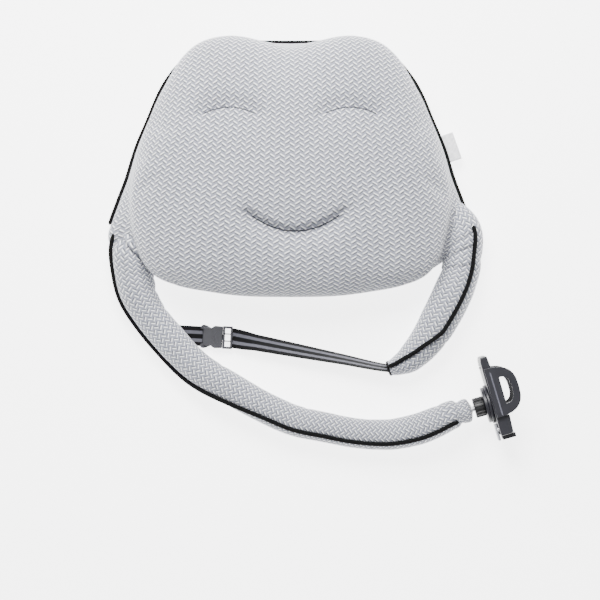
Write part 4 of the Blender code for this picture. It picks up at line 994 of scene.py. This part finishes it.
def moulded_copy(name, node, material, body, slot, width, segments=2):
    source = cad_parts[node].data
    bm = bmesh.new()
    bm.from_mesh(source)
    bmesh.ops.remove_doubles(bm, verts=bm.verts, dist=1e-6)
    bmesh.ops.dissolve_limit(bm, angle_limit=math.radians(2), verts=bm.verts, edges=bm.edges)
    sharp = [e for e in bm.edges if len(e.link_faces) == 2 and e.calc_face_angle(0) > math.radians(35)]
    bmesh.ops.bevel(bm, geom=sharp, offset=width, offset_type="OFFSET", segments=segments, profile=0.5,
                    affect="EDGES", clamp_overlap=True, material=-1)
    obj = flat_faces(new_object(name, bm, material, sharp=50))
    return settle(obj, body, slot, node)


def extruded(outline, low, high, place, bevel=0.0, segments=2):
    """A plate from an outline of (x, y) points, between two levels, its edges bevelled."""
    bm = bmesh.new()
    corners = [bm.verts.new((x, y, low)) for x, y in outline]
    face = bm.faces.new(corners)
    top = bmesh.ops.extrude_face_region(bm, geom=[face])["geom"]
    lifted = [g for g in top if isinstance(g, bmesh.types.BMVert)]
    bmesh.ops.translate(bm, vec=(0, 0, high - low), verts=lifted)
    bmesh.ops.recalc_face_normals(bm, faces=bm.faces)
    if bevel:
        rim = [e for e in bm.edges if e.calc_face_angle(0) > math.radians(35)]
        bmesh.ops.bevel(bm, geom=rim, offset=bevel, offset_type="OFFSET", segments=segments, profile=0.5,
                        affect="EDGES", clamp_overlap=True, material=-1)
    bmesh.ops.transform(bm, matrix=place, verts=bm.verts)
    return bm


def add_to(bm, more):
    """Joins one bmesh's faces onto another's."""
    mesh = bpy.data.meshes.new("joined")
    more.to_mesh(mesh)
    more.free()
    bm.from_mesh(mesh)
    return bm


# %% [markdown]
# ## Side-release buckle
# The socket half is a flat box with a V cut in each side, through which the plug's sprung prongs show,
# and a bar at its rear for the webbing. The plug ends in a ladder of slots.

# %% Buckle
BUCKLE_PLACE = Matrix.Translation(MOUTH) @ Matrix.Rotation(BUCKLE_ANGLE, 4, "Z")
half_side = [(0, 13.6), (-9.5, 14.2), (-12.5, 12.8), (-15.5, 9.8), (-18.8, 12.4), (-21.5, 11.6),
             (-24.5, 11.2)]
outline = [(x * MM, y * MM) for x, y in half_side] + [(x * MM, -y * MM) for x, y in reversed(half_side)]
bm = extruded(outline, -5 * MM, 5 * MM, BUCKLE_PLACE, 0.9 * MM, 3)
rear = [(-24.6, 11.0), (-31.0, 11.6), (-31.0, -11.6), (-24.6, -11.0)]
add_to(bm, extruded([(x * MM, y * MM) for x, y in rear], -4.4 * MM, -1.4 * MM, BUCKLE_PLACE, 0.5 * MM))
arrow = [(-5.0, 8.0), (-7.0, 8.0), (-13.0, 0), (-7.0, -8.0), (-5.0, -8.0), (-11.0, 0)]
add_to(bm, extruded([(x * MM, y * MM) for x, y in arrow], 4.6 * MM, 5.35 * MM, BUCKLE_PLACE, 0.2 * MM))
buckle_socket = flat_faces(new_object("buckle_socket", bm, buckle_plastic))
settle(buckle_socket, "cushion", "buckle_plastic", "buckle_female")
moulded_copy("buckle_plug_ladder", "buckle_male", buckle_plastic, "buckle_plug", "buckle_plastic", 0.5 * MM)
for side in ("upper", "lower"):
    moulded_copy(f"buckle_spring_prong_{side}", f"buckle_prong_{side}", buckle_plastic, f"prong_{side}",
                 "buckle_plastic", 0.5 * MM)
print("buckle socket", len(buckle_socket.data.polygons), "faces")

# %% [markdown]
# ## Ball joint, ribbed nut and disc
# The sleeve's gathered end carries a ball in a socket. The nut that clamps it is ribbed for grip: a fine
# cylinder whose rim is pulled in between the ribs, then bevelled.

# %% Ball joint
HOLDER_PLACE = Matrix.Translation(BALL) @ Matrix((UP, DOWN_HOLDER, OUT)).transposed().to_4x4()
NUT_RADIUS, NUT_HALF, RIBS = 12.5 * MM, 6.5 * MM, 18
GROOVE_DEPTH = 0.95 * MM
bm = bmesh.new()
bmesh.ops.create_cone(bm, cap_ends=True, segments=RIBS * 8, radius1=NUT_RADIUS, radius2=NUT_RADIUS,
                      depth=2 * NUT_HALF)
for v in bm.verts:
    turn = math.atan2(v.co.y, v.co.x)
    groove = GROOVE_DEPTH * ease(0.1, 0.55, 0.5 + 0.5 * math.cos(RIBS * turn))
    v.co.xy *= (NUT_RADIUS - groove) / NUT_RADIUS
rims = [e for e in bm.edges if abs(e.verts[0].co.z - e.verts[1].co.z) < 1e-6 and e.calc_face_angle(0) > 1]
bmesh.ops.bevel(bm, geom=rims, offset=0.9 * MM, offset_type="OFFSET", segments=2, profile=0.5, affect="EDGES",
                clamp_overlap=True, material=-1)
bmesh.ops.transform(bm, matrix=HOLDER_PLACE, verts=bm.verts)
settle(new_object("ribbed_collar_nut", bm, nut_plastic, sharp=30), "nut", "charcoal_plastic", "collar_nut")
moulded_copy("ball_socket", "socket_housing", clamp_plastic, "socket", "charcoal_plastic", 0.5 * MM)
moulded_copy("swivel_plate", "swivel_disc", clamp_plastic, "holder", "charcoal_plastic", 0.8 * MM)
print("collar nut with", RIBS, "ribs")

# %% [markdown]
# ## Phone clamp
# Two shells make a tapered body. The jaws are D-shaped loops with a raised rib along their root, and a
# pale latch and a foot close the lower end. Outlines are drawn across the clamp and set on edge.

# %% Clamp body
plan = [(-60, 16.2), (-60, 24.6), (-45, 26.0), (17, 26.0), (17.4, 32.4), (40.0, 31.2), (41.0, 28.0),
        (41.0, 15.2), (-40, 14.7), (-54, 14.9)]
EDGE_ON = Matrix(((0, 0, 1, 0), (1, 0, 0, 0), (0, 1, 0, 0), (0, 0, 0, 1)))
body_bm = extruded([(u * MM, w * MM) for u, w in plan], -28.8 * MM, 28.8 * MM, EDGE_ON, 1.6 * MM, 3)
bmesh.ops.transform(body_bm, matrix=HOLDER_PLACE, verts=body_bm.verts)
settle(flat_faces(new_object("clamp_body", body_bm, clamp_plastic)), "holder", "charcoal_plastic",
       "holder_back_shell", "holder_front_shell")
moulded_copy("clamp_back_latch", "back_plate", pale_plastic, "holder", "pale_plastic", 1.0 * MM, 3)
moulded_copy("clamp_foot", "support_foot", clamp_plastic, "foot", "charcoal_plastic", 1.0 * MM, 3)
moulded_copy("upper_jaw_loop", "jaw_sliding", clamp_plastic, "upper_jaw", "charcoal_plastic", 1.3 * MM, 3)
moulded_copy("lower_jaw_loop", "jaw_fixed", clamp_plastic, "holder", "charcoal_plastic", 1.3 * MM, 3)
rib = [(-40, 21.9), (-38, 23.6), (15, 24.4), (17, 23.4), (15, 22.4)]
# The ribs carry a painted highlight in their pale grey.
for name, body, side in (("upper_jaw_rib", "upper_jaw", 1), ("lower_jaw_rib", "holder", -1)):
    low, high = sorted((side * 34.0 * MM, side * (35.6 if side > 0 else 34.3) * MM))
    rib_bm = extruded([(u * MM, w * MM) for u, w in rib], low, high, EDGE_ON, 0.1 * MM)
    bmesh.ops.transform(rib_bm, matrix=HOLDER_PLACE, verts=rib_bm.verts)
    settle(new_object(name, rib_bm, ridge_painted_highlight), body, "charcoal_plastic")
print("phone clamp made")

# %% [markdown]
# ## Side label
# A blank folded ribbon is caught in the seam. It is thin, so a grid with a little curl is enough.

# %% Label
LABEL_ANGLE = math.radians(81.6)
r = seam_radius(LABEL_ANGLE)
root = Vector((r * math.sin(LABEL_ANGLE), r * math.cos(LABEL_ANGLE), SEAM_HEIGHT))
ahead, behind = [Vector((seam_radius(a) * math.sin(a), seam_radius(a) * math.cos(a), 0))
                 for a in (LABEL_ANGLE + 0.02, LABEL_ANGLE - 0.02)]
label_along = (behind - ahead).normalized()
label_out = Vector((label_along.y, -label_along.x, 0))
LABEL_START, LABEL_WIDTH, LABEL_LENGTH = 1.5 * MM, 17.6 * MM, 35 * MM


def label_point(u, v):
    lift = 1.0 * MM * math.sin(u * math.pi) * math.cos((v - 0.5) * 2.2) - 1.2 * MM * u * u
    return (root + label_out * (LABEL_START + u * LABEL_WIDTH) + label_along * (v - 0.5) * LABEL_LENGTH
            + UP * lift)


label_grid = shaped_grid(10, 20, label_point, lambda u, v: (u * LABEL_WIDTH, v * LABEL_LENGTH))
label = new_object("blank_side_label", label_grid, satin_label, sharp=60)
solid_wall(label, 0.6 * MM)
settle(label, "cushion", "white_label", "side_label")
print("label", round(LABEL_WIDTH / MM, 1), "x", round(LABEL_LENGTH / MM), "mm")

# %% [markdown]
# ## The CAD nodes that stay
# The zip, the pads, the screws and the spring already have the right shape, so they only get a finish.

# %% Finishes for the remaining nodes
FINISHES = {
    "zipper_welt": back_knit, "zipper_tape": zip_tape, "zipper_teeth": tooth_plastic, "zipper_slider": steel,
    "zipper_pull": steel, "jaw_pad_fixed": jaw_rubber, "jaw_pad_sliding": jaw_rubber,
    "housing_screw_1": steel, "housing_screw_2": steel,
    "jaw_spring": steel, "ball_stud": steel, "ball_liner": pale_plastic,
}
for node, finish in FINISHES.items():
    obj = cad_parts[node]
    for part in obj.material_slots:
        part.material = finish
    if not obj.material_slots:
        obj.data.materials.append(finish)
print("CAD nodes kept", len(FINISHES))
